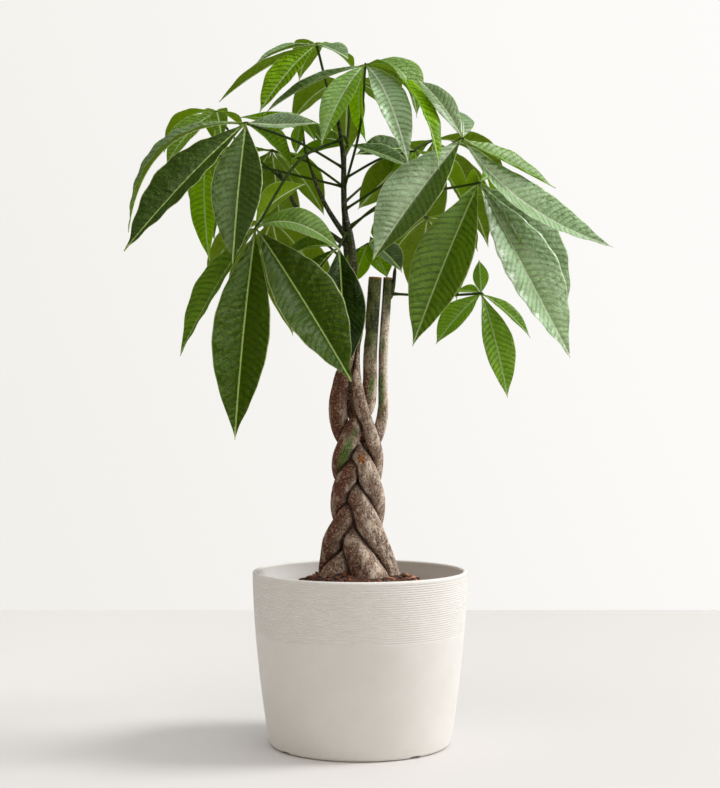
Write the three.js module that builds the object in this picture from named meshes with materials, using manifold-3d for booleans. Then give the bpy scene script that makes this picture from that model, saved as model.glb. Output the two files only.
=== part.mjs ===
// Potted money tree: five trunks braided together, with their leafy shoots, in a white pot of soil.
// Millimetres, +Z up. The origin is the centre of the pot's flat base on the ground.
// Seen from the front, +X is to the right and +Y is away, so a negative depth is nearer.

import * as THREE from 'three';
import { mergeVertices } from 'three/addons/utils/BufferGeometryUtils.js';
import Module from 'manifold-3d';

// Pot
const POT_RIM_RADIUS = 101.8;
const POT_FOOT_RADIUS = 86;
const POT_HEIGHT = 163.5;
const POT_WALL = 4.6;
const POT_FLOOR = 6;
const POT_EDGE_ROUND = 4;
const POT_EDGE_FACETS = 3;
const POT_LIP_DEGREES = [45, 90, 135];
const POT_SIDES = 48;
const POT_FLARE = 1.7;
const POT_OUTER_LEVELS = [20, 45, 80, 120];
const POT_INNER_LEVELS = [100, 45];
const NOTCH_WIDTH = 11;
const NOTCH_HEIGHT = 2;
const NOTCH_REACH = 16;
const NOTCH_COUNT = 4;
const FIRST_NOTCH_DEG = 36.5;

// Soil, heaped round the trunks
const SOIL_CROWN = 165;
const SOIL_FALL = 25;
const SOIL_RINGS = 5;
const SOIL_SIDES = 24;
const SOIL_LUMP = 1.3;
const SOIL_WALL_LEVELS = [45, 95];
const SOIL_SEED = 41;

// Gap that neighbouring pieces keep
const GAP = 0.3;

// Eye from which the leaves were placed: how far in front of the trunk, and how high
const EYE_DISTANCE = 1520;
const EYE_HEIGHT = 330;

// Trunks, as points up each one: [x, z, depth, radius]
const TRUNK_SIDES = 8;
const TRUNK_STEP = 14;
const SHOOT_STEP = 12;
const HEIGHT_HALVINGS = 24;
const RIGHT_TRUNK = [
  [11, 126, -12, 17], [10.5, 152, -16, 18], [5, 168, -16, 15.5], [-2, 184, -13, 13.5],
  [-8, 199, -5, 12], [-14, 211, 1, 11], [-17.5, 224, 1, 10.5], [-17, 236, -5, 10.2],
  [-14, 247, -10, 10], [-7, 259, -9, 9.8], [2, 271, 1, 9], [12, 284, 5, 7.5],
  [19, 299, 4, 5.8], [22, 318, 4, 5], [21.5, 342, 4, 4.7], [22.5, 380, 4, 4.6],
  [25, 420, 3, 4.6], [26, 441, 3, 4.6],
];
const THICK_TRUNK = [
  [25, 126, 3, 13], [25, 152, 0, 13.2], [21, 170, -4, 13], [15, 187, -9, 12.9],
  [8, 205, -12, 12.6], [1.5, 222, -12, 11.8], [-4, 236, -7, 10.8], [-12, 247, 1, 10],
  [-16.5, 258, 0, 9.8], [-16.5, 270, -6, 9.6], [-12, 283, -11, 9.4], [-6, 296, -12, 9.2],
  [1, 309, -6, 8.6], [7, 322, -1, 7.6], [9.5, 340, 0, 6.9], [9.8, 368, 0, 6.6],
  [11.8, 401, 0, 6.5], [14.7, 441, 0, 6.5],
];
const MAIN_TRUNK = [
  [-27, 126, -2, 14], [-25, 154, -4, 14], [-20, 167, -3, 12.5], [-11, 180, 2, 12],
  [0, 193, 6, 11.4], [10, 206, 6, 11], [13, 220, 1, 10.8], [12.5, 234, -5, 10.8],
  [9, 247, -10, 10.6], [4.5, 260, -11, 10.2], [-1.5, 271, -8, 9.6], [-10, 283, 1, 9.2],
  [-17, 295, 1, 9], [-20.5, 309, -3, 8.8], [-20.5, 325, -6, 8.4], [-16.8, 345, -8, 7.9],
  [-11, 366, -8, 6.2], [-7.6, 391, -8, 5], [-7.6, 425, -8, 4.4], [-7, 458, -7, 4.1],
  [-10, 481, -6, 3.8], [-14, 499, -5, 3.1], [-15.7, 524, -4, 2.4], [-16, 550, -3, 2.1],
  [-19, 580, -2, 1.9], [-21, 590, -2, 1.8],
];
const BROWN_TRUNK = [
  [-30, 130, 12, 10.5], [-30, 154, 9, 10.5], [-28, 172, 4, 10.5], [-25, 190, -3, 10.4],
  [-17, 206, -9, 10.3], [-9, 219, -8, 10], [1, 231, 4, 9.4], [9, 243, 8, 9],
  [13, 257, 6, 8.2], [15, 271, -1, 7.2], [12.5, 285, -9, 6.8], [8, 298, -15, 6.6],
  [2, 316, -16, 6.3], [-2, 333, -12, 5.8], [-4, 348, -8, 4.8], [-4, 364, -4, 3.8],
  [-2.5, 378, -2, 3.3], [1, 389, -1, 3.2],
];
const BACK_TRUNK = [
  [12, 130, 16, 10], [13, 154, 16, 10], [9, 172, 17, 10], [-2, 190, 18, 9.8],
  [-13, 207, 14, 9.6], [-17, 224, 12, 9.4], [-10, 241, 16, 9.2], [2, 256, 18, 8.8],
  [9, 271, 14, 8.8], [7, 288, 12, 8.6], [-1, 305, 12, 8.3], [-8, 322, 9, 7.8],
  [-10, 345, 6, 6], [-8, 372, 6, 4.6], [-9, 410, 8, 4.1], [-11, 450, 13, 3.8],
  [-14, 485, 18, 3], [-15, 515, 20, 2.4], [-15, 545, 22, 2], [-15, 560, 23, 1.8],
];

// Side shoots, as points from inside the trunk that each grows from
const SECOND_SHOOT = [
  [-10, 474, -6, 2.8], [-18, 486, -6, 2.7], [-26, 498, -7, 2.4], [-33, 510, -8, 2.1],
  [-39, 523, -9, 1.9], [-44, 537, -10, 1.7],
];
const THIRD_SHOOT = [
  [-9, 468, -7, 2.8], [-25, 480, -3, 2.6], [-45, 494, 4, 2.3], [-60, 508, 9, 2.1],
  [-69, 526, 11, 1.9], [-76, 540, 12, 1.8],
];
const SIDE_SHOOT = [
  [23.3, 418, 3, 2.2], [29, 423, 3, 2.1], [31.5, 432, 3, 1.9], [33, 446, 3, 1.7],
];

// Leaf blades
const BLADE_THICKNESS = 0.75;
const BLADE_STATIONS = [0, 0.13, 0.34, 0.56, 0.8, 1];
const BLADE_FOLD_DEG = 13;
const BLADE_LIFT_DEG = 40;
const BLADE_MIDDLE = 0.45;
const BLADE_OUTLINE_POWER = 1.1;
const STALK_WIDTH = 1.6;
const TIP_WIDTH = 0.9;
const PETIOLE_RADIUS = 1.25;
const PETIOLE_SIDES = 5;
const PETIOLE_STEP = 22;
const HUB_RADIUS = 2.1;

// Compound leaves. Each row: name, shoot, height on the shoot, bend of the petiole, hub, leaflets.
// Points are [x, z, depth], with x and z as they are seen from the eye in the trunk's plane.
// A leaflet is [x, z, depth of its tip, width, turn of its upper face in degrees, bow], where a
// turn of 0 faces the eye, 90 faces right and -90 left, and the bow is a share of the length.
const LEAVES = [
  ['leaf_crown', 'main', 586, [-31, 622, -4], [-41, 662, -6], [
    [-101, 643, -25, 18, -50, 0.08],
    [-134, 608, 30, 24, -100, 0.05],
    [-96, 597, -50, 31, -15, 0.06],
    [-11, 649, -55, 22, 20, 0.03],
    [-6, 638, 42, 24, 110, 0.08],
    [-58, 628, 80, 28, 190, 0.14],
  ]],
  ['leaf_upper_right', 'main', 522, [0, 584, -14], [5, 643, -30], [
    [-37, 567, -70, 31, -10, 0.1],
    [-92, 596, -10, 20, -60, 0.06],
    [54, 593, -50, 36, 35, 0.3],
    [46, 549, -104, 31, 15, 0.1],
    [75, 544, -108, 28, 60, 0.14],
    [6, 570, 4, 20, -30, 0.1],
    [36, 596, 46, 30, 160, 0.16],
  ]],
  ['leaf_left_small', 'third', 536, [-118, 572, 20], [-136, 598, 22], [
    [-184, 547, 5, 29, -15, 0.11],
    [-131, 572, -18, 17, 0, 0.1],
    [-112, 583, 40, 20, 120, 0.1],
    [-186, 560, 55, 26, -120, 0.2],
    [-138, 568, 80, 26, 190, 0.2],
  ]],
  ['leaf_left_large', 'main', 545, [-57, 569, -34], [-108, 588, -62], [
    [-220, 484, -40, 30, -70, 0.22],
    [-224, 466, -95, 50, -20, 0.03],
    [-121, 454, -118, 46, -5, 0.04],
    [-41, 588, -76, 25, 0, -0.03],
    [-64, 541, -12, 38, 20, 0.06],
  ]],
  ['leaf_left_behind', 'main', 527, [-92, 546, 40], [-146, 560, 66], [
    [-143, 457, 40, 27, -20, 0.08],
    [-198, 500, 80, 32, -80, 0.14],
    [-138, 476, 130, 34, -150, 0.14],
    [-108, 480, 135, 34, 150, 0.14],
    [-92, 530, 96, 28, 100, 0.12],
  ]],
  ['leaf_lower_left', 'main', 572, [-57, 553, -46], [-99, 488, -78], [
    [-171, 367, -62, 40, -40, 0.03],
    [-119, 287, -98, 51, -4, 0.04],
    [-8, 342, -92, 58, 0, 0.03],
    [-18, 466, -92, 28, 0, 0.24],
    [-123, 450, -30, 26, -110, 0.08],
    [-52, 530, -20, 30, 200, 0.1],
  ]],
  ['leaf_centre_dark', 'main', 470, [-12, 484, -22], [-20, 470, -36], [
    [-14, 352, -40, 42, 0, 0.14],
    [-62, 400, -34, 30, -30, 0.12],
    [-75, 452, 2, 26, -70, 0.14],
  ]],
  ['leaf_right_high', 'main', 505, [52, 548, -48], [97, 573, -78], [
    [55, 629, -62, 22, 10, 0.08],
    [76, 603, -10, 26, 80, 0.12],
    [12, 458, -100, 58, -10, 0.03],
    [186, 526, -50, 29, 60, 0],
    [241, 470, -104, 42, 5, -0.12],
  ]],
  ['leaf_right_low', 'main', 486, [22, 512, -22], [113, 531, -48], [
    [50, 376, -70, 52, 0, 0.04],
    [200, 365, -72, 60, 18, -0.02],
    [198, 407, 0, 47, 12, 0.14],
    [96, 518, 10, 26, 100, 0.14],
    [128, 500, 50, 30, 140, 0.2],
  ]],
  ['leaf_right_fresh', 'side', 426, [70, 424, -6], [115, 426, -14], [
    [113, 458, -20, 15, 0, 0.04],
    [92, 428, 10, 14, 0, 0.06],
    [72, 378, -24, 28, -15, 0.05],
    [140, 327, -26, 31, 10, 0.05],
    [162, 384, -10, 18, 30, 0.06],
  ]],
  ['leaf_inner_right', 'main', 534, [24, 556, 14], [52, 562, 26], [
    [-4, 558, 2, 30, 0, 0.06],
    [-2, 506, 20, 34, 170, 0.05],
    [100, 508, 52, 34, 120, 0.12],
    [36, 526, 30, 26, 20, 0.1],
  ]],
  ['leaf_inner_left', 'main', 576, [-14, 574, 6], [-12, 567, 8], [
    [52, 544, -18, 20, 10, 0.05],
    [-42, 573, -2, 16, -10, 0.1],
    [-64, 554, 14, 18, -30, 0.08],
    [-116, 593, 30, 17, -20, 0.1],
  ]],
  ['leaf_inner_top', 'second', 533, [-52, 562, -6], [-55, 590, -6], [
    [-61, 558, -14, 13, -10, 0.08],
    [-43, 571, -24, 12, 10, 0.08],
    [-34, 566, -14, 14, 20, 0.08],
    [-86, 570, -10, 18, -80, 0.1],
  ]],
  ['leaf_inner_low', 'main', 462, [2, 470, 14], [8, 473, 12], [
    [26, 441, -8, 27, 5, 0.1],
    [-4, 437, 14, 26, -10, 0.1],
    [40, 446, -30, 26, 20, 0.08],
    [34, 492, 34, 26, 110, 0.12],
  ]],
  ['leaf_back_top', 'back', 556, [-10, 596, 40], [-12, 626, 58], [
    [-66, 588, 122, 34, -150, 0.14],
    [-14, 552, 152, 38, 180, 0.12],
    [44, 582, 134, 36, 150, 0.14],
    [30, 612, 84, 26, 110, 0.12],
  ]],
  ['leaf_back_left', 'back', 530, [-52, 552, 78], [-84, 562, 114], [
    [-156, 522, 144, 34, -130, 0.14],
    [-132, 464, 186, 42, -160, 0.08],
    [-72, 444, 200, 44, 180, 0.08],
    [-34, 500, 172, 36, 160, 0.12],
  ]],
  ['leaf_back_right', 'back', 515, [32, 552, 72], [70, 572, 106], [
    [138, 540, 132, 34, 130, 0.14],
    [122, 470, 178, 44, 150, 0.08],
    [58, 448, 194, 44, 180, 0.08],
    [8, 510, 168, 36, 200, 0.12],
  ]],
  ['leaf_back_low_right', 'back', 490, [28, 510, 58], [64, 498, 92], [
    [112, 466, 114, 36, 120, 0.14],
    [92, 420, 156, 42, 150, 0.08],
    [54, 414, 164, 42, 178, 0.08],
    [22, 448, 134, 34, 200, 0.1],
  ]],
  ['leaf_back_low_left', 'back', 455, [-42, 480, 50], [-84, 496, 86], [
    [-146, 440, 104, 36, -120, 0.14],
    [-112, 378, 128, 46, -160, 0.08],
    [-64, 386, 140, 46, 180, 0.08],
    [-26, 412, 118, 36, 160, 0.1],
  ]],
];

// Corners nearer than this are welded into one
const WELD_DISTANCE = 1e-4;

// Factor and modulus of the seeded draw
const DRAW_FACTOR = 16807;
const DRAW_MODULUS = 2147483647;

const wasm = await Module();
wasm.setup();

// Solids that can be joined and cut
function solidOf(geometry) {
  const bare = geometry.clone();
  bare.deleteAttribute('normal');
  bare.deleteAttribute('uv');
  const merged = mergeVertices(bare, WELD_DISTANCE);
  return new wasm.Manifold(new wasm.Mesh({
    numProp: 3,
    vertProperties: new Float32Array(merged.attributes.position.array),
    triVerts: new Uint32Array(merged.index.array),
  }));
}

function geometryOf(solid) {
  const mesh = solid.getMesh();
  const geometry = new THREE.BufferGeometry();
  geometry.setAttribute('position', new THREE.BufferAttribute(mesh.vertProperties.slice(), 3));
  geometry.setIndex(new THREE.BufferAttribute(mesh.triVerts.slice(), 1));
  geometry.computeVertexNormals();
  return geometry;
}

function indexedGeometry(points, triangles) {
  const geometry = new THREE.BufferGeometry();
  geometry.setAttribute('position', new THREE.Float32BufferAttribute(points.flat(), 3));
  geometry.setIndex(triangles.flat());
  return geometry;
}

function joined(solids) {
  return solids.reduce((whole, solid) => whole.add(solid));
}

// A cut can leave crumbs beside the piece itself, so the largest body is the piece
function largestBody(solid) {
  const bodies = solid.decompose();
  return bodies.reduce((best, body) => (body.volume() > best.volume() ? body : best));
}

// Closed skin over a row of rings, all with the same number of points, counter-clockwise seen
// from the row's far end
function ringSolid(rings) {
  const sides = rings[0].length;
  const triangles = [];
  for (let ring = 0; ring + 1 < rings.length; ring += 1) {
    for (let side = 0; side < sides; side += 1) {
      const here = ring * sides + side;
      const next = ring * sides + (side + 1) % sides;
      triangles.push([here, next, next + sides], [here, next + sides, here + sides]);
    }
  }
  const last = (rings.length - 1) * sides;
  for (let side = 1; side + 1 < sides; side += 1) {
    triangles.push([0, side + 1, side], [last, last + side, last + side + 1]);
  }
  return solidOf(indexedGeometry(rings.flat(), triangles));
}

// Round stem through points of [x, y, z, radius], tapering from one to the next
class Stem {
  constructor(rows, sides, stepLength) {
    this.rows = rows;
    this.sides = sides;
    const centres = rows.map(([x, y, z]) => new THREE.Vector3(x, y, z));
    this.curve = new THREE.CatmullRomCurve3(centres, false, 'centripetal');
    this.steps = Math.max(2, Math.round(this.curve.getLength() / stepLength));
  }

  radiusAt(t) {
    const place = t * (this.rows.length - 1);
    const row = Math.min(Math.floor(place), this.rows.length - 2);
    return THREE.MathUtils.lerp(this.rows[row][3], this.rows[row + 1][3], place - row);
  }

  solid(growth = 0) {
    const frames = this.curve.computeFrenetFrames(this.steps, false);
    const rings = [];
    for (let step = 0; step <= this.steps; step += 1) {
      const t = this.curve.getUtoTmapping(step / this.steps);
      const centre = this.curve.getPoint(t);
      const radius = this.radiusAt(t) + growth;
      const ring = [];
      for (let side = 0; side < this.sides; side += 1) {
        const angle = (2 * Math.PI * side) / this.sides;
        const point = centre.clone()
          .addScaledVector(frames.normals[step], radius * Math.cos(angle))
          .addScaledVector(frames.binormals[step], radius * Math.sin(angle));
        ring.push(point.toArray());
      }
      rings.push(ring);
    }
    return ringSolid(rings);
  }

  // Point of the axis at a height, on a stem that only climbs
  pointAtHeight(z) {
    let low = 0;
    let high = 1;
    for (let halving = 0; halving < HEIGHT_HALVINGS; halving += 1) {
      const middle = (low + high) / 2;
      if (this.curve.getPoint(middle).z < z) {
        low = middle;
      } else {
        high = middle;
      }
    }
    return this.curve.getPoint(high);
  }
}

// Trunk rows are [x, z, depth, radius]
function trunkStem(rows, step = TRUNK_STEP) {
  return new Stem(rows.map(([x, z, depth, radius]) => [x, depth, z, radius]), TRUNK_SIDES, step);
}

const thickTrunk = trunkStem(THICK_TRUNK);
const rightTrunk = trunkStem(RIGHT_TRUNK);
const mainTrunk = trunkStem(MAIN_TRUNK);
const brownTrunk = trunkStem(BROWN_TRUNK);
const backTrunk = trunkStem(BACK_TRUNK);
const secondShoot = trunkStem(SECOND_SHOOT, SHOOT_STEP);
const thirdShoot = trunkStem(THIRD_SHOOT, SHOOT_STEP);
const sideShoot = trunkStem(SIDE_SHOOT, SHOOT_STEP);

const shoots = {
  main: mainTrunk,
  second: secondShoot,
  third: thirdShoot,
  side: sideShoot,
  back: backTrunk,
};

// Each trunk as it grew, with the shoots that it carries
function wholeTrunks(growth) {
  return [
    thickTrunk.solid(growth),
    rightTrunk.solid(growth).add(sideShoot.solid(growth)),
    joined([mainTrunk.solid(growth), secondShoot.solid(growth), thirdShoot.solid(growth)]),
    brownTrunk.solid(growth),
    backTrunk.solid(growth),
  ];
}

// Where two trunks of the braid press together, the later one is flattened against the earlier
const grownTrunks = wholeTrunks(GAP);
const trunks = wholeTrunks(0);
for (let later = 1; later < trunks.length; later += 1) {
  for (let earlier = 0; earlier < later; earlier += 1) {
    trunks[later] = largestBody(trunks[later].subtract(grownTrunks[earlier]));
  }
}
const allGrownTrunks = joined(grownTrunks);

// Pot: a turned shell with a round lip, and a drain notch in four places of its foot
function potWallRadius(z) {
  const share = z / POT_HEIGHT;
  return POT_FOOT_RADIUS + (POT_RIM_RADIUS - POT_FOOT_RADIUS) * (1 - (1 - share) ** POT_FLARE);
}

function potSolid() {
  const outer = [];
  for (let corner = 0; corner <= POT_EDGE_FACETS; corner += 1) {
    const angle = (Math.PI / 2) * (corner / POT_EDGE_FACETS);
    outer.push([
      POT_FOOT_RADIUS - POT_EDGE_ROUND * (1 - Math.sin(angle)),
      POT_EDGE_ROUND * (1 - Math.cos(angle)),
    ]);
  }
  for (const z of [...POT_OUTER_LEVELS, POT_HEIGHT - POT_WALL / 2]) {
    outer.push([potWallRadius(z), z]);
  }
  const lipCentre = POT_RIM_RADIUS - POT_WALL / 2;
  for (const degrees of POT_LIP_DEGREES) {
    const angle = THREE.MathUtils.degToRad(degrees);
    outer.push([
      lipCentre + (POT_WALL / 2) * Math.cos(angle),
      POT_HEIGHT - (POT_WALL / 2) * (1 - Math.sin(angle)),
    ]);
  }
  const inner = [POT_HEIGHT - POT_WALL / 2, ...POT_INNER_LEVELS, POT_FLOOR].map(
    (z) => [potWallRadius(z) - POT_WALL, z],
  );
  const profile = [[0, 0], ...outer, ...inner, [0, POT_FLOOR]];
  const shape = profile.map(([radius, z]) => new THREE.Vector2(radius, z));
  const turned = new THREE.LatheGeometry(shape, POT_SIDES);
  turned.rotateX(Math.PI / 2);
  let pot = solidOf(turned);
  for (let notch = 0; notch < NOTCH_COUNT; notch += 1) {
    const turn = (360 / NOTCH_COUNT) * notch + FIRST_NOTCH_DEG - 90;
    const cutter = new THREE.BoxGeometry(NOTCH_REACH, NOTCH_WIDTH, NOTCH_HEIGHT * 2);
    cutter.translate(POT_FOOT_RADIUS, 0, 0);
    cutter.rotateZ(THREE.MathUtils.degToRad(turn));
    pot = pot.subtract(solidOf(cutter));
  }
  return pot;
}

// Soil: fills the pot, its top heaped towards the trunks and lumpy by a seeded draw
function seededRandom(seed) {
  let state = seed;
  return () => {
    state = (state * DRAW_FACTOR) % DRAW_MODULUS;
    return state / DRAW_MODULUS;
  };
}

function soilSolid() {
  const random = seededRandom(SOIL_SEED);
  const rings = [];
  const soilRadius = (z) => potWallRadius(z) - POT_WALL - GAP * 2;
  const ringAt = (radius, height) => {
    const ring = [];
    for (let side = 0; side < SOIL_SIDES; side += 1) {
      const angle = (2 * Math.PI * side) / SOIL_SIDES;
      ring.push([radius * Math.cos(angle), radius * Math.sin(angle), height()]);
    }
    return ring;
  };
  for (const z of [POT_FLOOR + GAP, ...SOIL_WALL_LEVELS]) {
    rings.push(ringAt(soilRadius(z), () => z));
  }
  const edge = soilRadius(SOIL_CROWN - SOIL_FALL);
  for (let ring = SOIL_RINGS; ring >= 1; ring -= 1) {
    const share = ring / SOIL_RINGS;
    const top = SOIL_CROWN - SOIL_FALL * share ** 2;
    rings.push(ringAt(edge * share, () => top + SOIL_LUMP * (2 * random() - 1)));
  }
  return ringSolid(rings).subtract(allGrownTrunks);
}

// Leaves
function seen(x, z, depth) {
  const reach = (EYE_DISTANCE + depth) / EYE_DISTANCE;
  return new THREE.Vector3(x * reach, depth, EYE_HEIGHT + (z - EYE_HEIGHT) * reach);
}

// Direction that a blade's upper face looks in, square to the midrib
function faceDirection(turnDeg, along) {
  const turn = THREE.MathUtils.degToRad(turnDeg);
  const lift = THREE.MathUtils.degToRad(BLADE_LIFT_DEG);
  const face = new THREE.Vector3(
    Math.sin(turn) * Math.cos(lift),
    -Math.cos(turn) * Math.cos(lift),
    Math.sin(lift),
  );
  return face.addScaledVector(along, -face.dot(along)).normalize();
}

// Share of the full half width at a share of the length: widest just before the middle, with a
// narrow foot and a drawn-out tip
function bladeOutline(share) {
  return Math.sin(Math.PI * share) ** BLADE_OUTLINE_POWER;
}

// One leaflet: a thin arched blade folded along its midrib, from the hub to the tip
function leafletSolid(hub, tip, width, turnDeg, bow) {
  const chord = tip.clone().sub(hub);
  const length = chord.length();
  const arch = faceDirection(turnDeg, chord.clone().normalize());
  const middle = hub.clone().lerp(tip, BLADE_MIDDLE).addScaledVector(arch, bow * length * 2);
  const midrib = new THREE.QuadraticBezierCurve3(hub, middle, tip);
  const fold = THREE.MathUtils.degToRad(BLADE_FOLD_DEG);
  const rings = BLADE_STATIONS.map((share, station) => {
    const centre = midrib.getPoint(share);
    const along = midrib.getTangent(share);
    const up = faceDirection(turnDeg, along);
    const side = new THREE.Vector3().crossVectors(up, along);
    const narrowest = station === 0 ? STALK_WIDTH / 2 : TIP_WIDTH / 2;
    const half = Math.max(narrowest, (width / 2) * bladeOutline(share));
    const at = (across, above) => centre.clone()
      .addScaledVector(side, across * Math.cos(fold))
      .addScaledVector(up, Math.abs(across) * Math.sin(fold) + above)
      .toArray();
    const skin = BLADE_THICKNESS / 2;
    return [
      at(half, -skin), at(half, skin), at(0, skin),
      at(-half, skin), at(-half, -skin), at(0, -skin),
    ];
  });
  return ringSolid(rings);
}

// One compound leaf: a petiole with its leaflets fanned from the hub
function leafSolid([, shootName, height, bend, hubSeen, leaflets]) {
  const shoot = shoots[shootName];
  const foot = shoot.pointAtHeight(height);
  const knee = seen(...bend);
  const hub = seen(...hubSeen);
  const end = hub.clone().add(hub.clone().sub(knee).setLength(HUB_RADIUS));
  const rows = [
    [...foot.toArray(), PETIOLE_RADIUS],
    [...knee.toArray(), PETIOLE_RADIUS],
    [...end.toArray(), HUB_RADIUS],
  ];
  const petiole = new Stem(rows, PETIOLE_SIDES, PETIOLE_STEP);
  const blades = leaflets.map(([x, z, depth, width, turn, bow]) => (
    leafletSolid(hub, seen(x, z, depth), width, turn, bow)
  ));
  return largestBody(joined([petiole.solid(), ...blades]).subtract(allGrownTrunks));
}

// The pieces, each with its own finish
const object = new THREE.Group();

function addPiece(name, solid, color, roughness) {
  const material = new THREE.MeshStandardMaterial({ color, roughness, metalness: 0 });
  const mesh = new THREE.Mesh(geometryOf(solid), material);
  mesh.name = name;
  object.add(mesh);
}

addPiece('pot', potSolid(), 0xe9e5dc, 0.5);
addPiece('soil', soilSolid(), 0x5a3420, 0.95);
addPiece('trunk_thick', trunks[0], 0x86725f, 0.8);
addPiece('trunk_right', trunks[1], 0x8a7464, 0.8);
addPiece('trunk_main', trunks[2], 0x7d6a58, 0.8);
addPiece('trunk_brown', trunks[3], 0x7a5c4b, 0.8);
addPiece('trunk_back', trunks[4], 0x6d5a4b, 0.8);
for (const leaf of LEAVES) {
  addPiece(leaf[0], leafSolid(leaf), 0x4f7d33, 0.4);
}

export default object;
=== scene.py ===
"""Potted money tree: five trunks braided together, with their shoots and leaves, in a white pot."""

import bmesh
import bpy
import numpy as np
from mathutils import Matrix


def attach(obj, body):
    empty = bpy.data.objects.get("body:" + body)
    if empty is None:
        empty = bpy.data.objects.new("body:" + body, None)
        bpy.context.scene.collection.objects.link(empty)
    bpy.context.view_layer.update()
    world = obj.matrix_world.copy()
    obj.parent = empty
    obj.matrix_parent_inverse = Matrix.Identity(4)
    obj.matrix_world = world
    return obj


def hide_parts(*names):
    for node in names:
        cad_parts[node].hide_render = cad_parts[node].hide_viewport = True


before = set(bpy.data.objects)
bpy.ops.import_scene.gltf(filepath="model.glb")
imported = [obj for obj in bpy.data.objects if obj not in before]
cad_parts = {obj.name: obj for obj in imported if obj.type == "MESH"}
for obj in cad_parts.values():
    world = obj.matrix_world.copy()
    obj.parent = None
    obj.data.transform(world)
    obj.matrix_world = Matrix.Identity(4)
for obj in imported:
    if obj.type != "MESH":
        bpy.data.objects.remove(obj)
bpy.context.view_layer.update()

# Pot
# A flower pot turned from off-white matt plastic, with fine grooves round its upper third and a
# round lip. It stands on its flat foot, whose edge has four shallow drain notches.
MM = 0.001
POT_RIM_RADIUS = 101.8 * MM
POT_FOOT_RADIUS = 86 * MM
POT_HEIGHT = 163.5 * MM
POT_WALL = 4.6 * MM
POT_FLOOR = 6 * MM
POT_EDGE_ROUND = 4 * MM
POT_FLARE = 1.7
POT_COLUMNS = 176
POT_UNDER_RADII = [0, 40 * MM, 65 * MM]
POT_EDGE_ROWS = 9
POT_WALL_ROWS = 28
POT_LIP_ROWS = 13
POT_INSIDE_ROWS = 15
POT_FLOOR_RADII = [60 * MM, 30 * MM, 0]
GROOVE_BOTTOM = 106.5 * MM
GROOVE_TOP = 160.3 * MM
GROOVE_COUNT = 26
GROOVE_ROWS = 6
GROOVE_DEPTH = 0.36 * MM
NOTCH_REACH = 8 * MM
NOTCH_WIDTH = 11 * MM
NOTCH_HEIGHT = 2 * MM
FIRST_NOTCH_DEGREES = 36.5
NOTCH_BEVEL = 0.05 * MM
NOTCH_SIDE = 1.02
WELD_DISTANCE = 0.0005 * MM


def screen(red_and_side_shade, green, blue):
    """Linear colour of a screen colour of 0 to 255, by undoing the screen's tone curve."""
    shares = np.array([red_and_side_shade, green, blue]) / 255
    linear = np.where(shares < 0.04, shares / 12.92, ((shares + 0.055) / 1.055) ** 2.4)
    return (*linear.tolist(), 1.0)


class Number:
    """A number that changes over a surface. Its operators add Math nodes."""

    def __init__(self, nodes, socket):
        self.nodes = nodes
        self.socket = socket

    def math(self, operation, *values):
        return self.nodes.add("ShaderNodeMath", {"operation": operation}, dict(enumerate(values)))

    def __add__(self, other):
        return self.math("ADD", self, other)

    def __radd__(self, other):
        return self.math("ADD", other, self)

    def __sub__(self, other):
        return self.math("SUBTRACT", self, other)

    def __rsub__(self, other):
        return self.math("SUBTRACT", other, self)

    def __mul__(self, other):
        return self.math("MULTIPLY", self, other)

    def __rmul__(self, other):
        return self.math("MULTIPLY", other, self)

    def __abs__(self):
        return self.math("ABSOLUTE", self)

    def rise(self, low, high):
        """0 below low, 1 above high, and a smooth rise between them; a fall if low is higher."""
        values = {"Value": self, "From Min": low, "From Max": high}
        return self.nodes.add("ShaderNodeMapRange", {"interpolation_type": "SMOOTHSTEP"}, values)


class Nodes:
    """The shader nodes of one material, or of the world."""

    def __init__(self, owner):
        owner.use_nodes = True
        self.tree = owner.node_tree
        self.tree.nodes.clear()

    def add(self, kind, settings=None, values=None, output=0):
        """Adds a node: first its settings, then its sockets' values or links."""
        made = self.tree.nodes.new(kind)
        for name, setting in (settings or {}).items():
            setattr(made, name, setting)
        for key, value in (values or {}).items():
            if isinstance(value, Number):
                self.tree.links.new(value.socket, made.inputs[key])
            else:
                made.inputs[key].default_value = value
        return Number(self, made.outputs[output])

    def mark(self, name):
        """The piece's own attribute of that name."""
        return self.add("ShaderNodeAttribute", {"attribute_name": name}, output="Fac")

    def noise(self, size, detail=3.0, stretch=(1, 1, 1)):
        """Cloudy numbers round 0.5, with clouds of about that size, in metres."""
        here = self.add("ShaderNodeTexCoord", output="Object")
        here = self.add("ShaderNodeVectorMath", {"operation": "MULTIPLY"}, {0: here, 1: stretch})
        values = {"Vector": here, "Scale": 1 / size, "Detail": detail}
        return self.add("ShaderNodeTexNoise", None, values)

    def along(self, vector, x, y, z):
        """How far a vector reaches in the direction of x, y, z: their dot product."""
        settings = {"operation": "DOT_PRODUCT"}
        return self.add("ShaderNodeVectorMath", settings, {0: vector, 1: (x, y, z)}, "Value")

    def blend(self, share, first, second):
        """The first colour, which turns into the second as the share goes from 0 to 1."""
        settings = {"data_type": "RGBA"}
        return self.add("ShaderNodeMix", settings, {0: share, 6: first, 7: second}, output=2)

    def bump(self, height, distance):
        """Directions of a surface with that relief, whose height of 1 is the distance in metres."""
        return self.add("ShaderNodeBump", None, {"Height": height, "Distance": distance})

    def show(self, shader, kind="ShaderNodeOutputMaterial"):
        """Ends the nodes with the shader that is seen."""
        end = self.tree.nodes.new(kind)
        self.tree.links.new(shader.socket, end.inputs["Surface"])


def add_object(name, data):
    """Puts a new object with that data into the scene, at the origin."""
    made = bpy.data.objects.new(name, data)
    bpy.context.scene.collection.objects.link(made)
    return made


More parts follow.
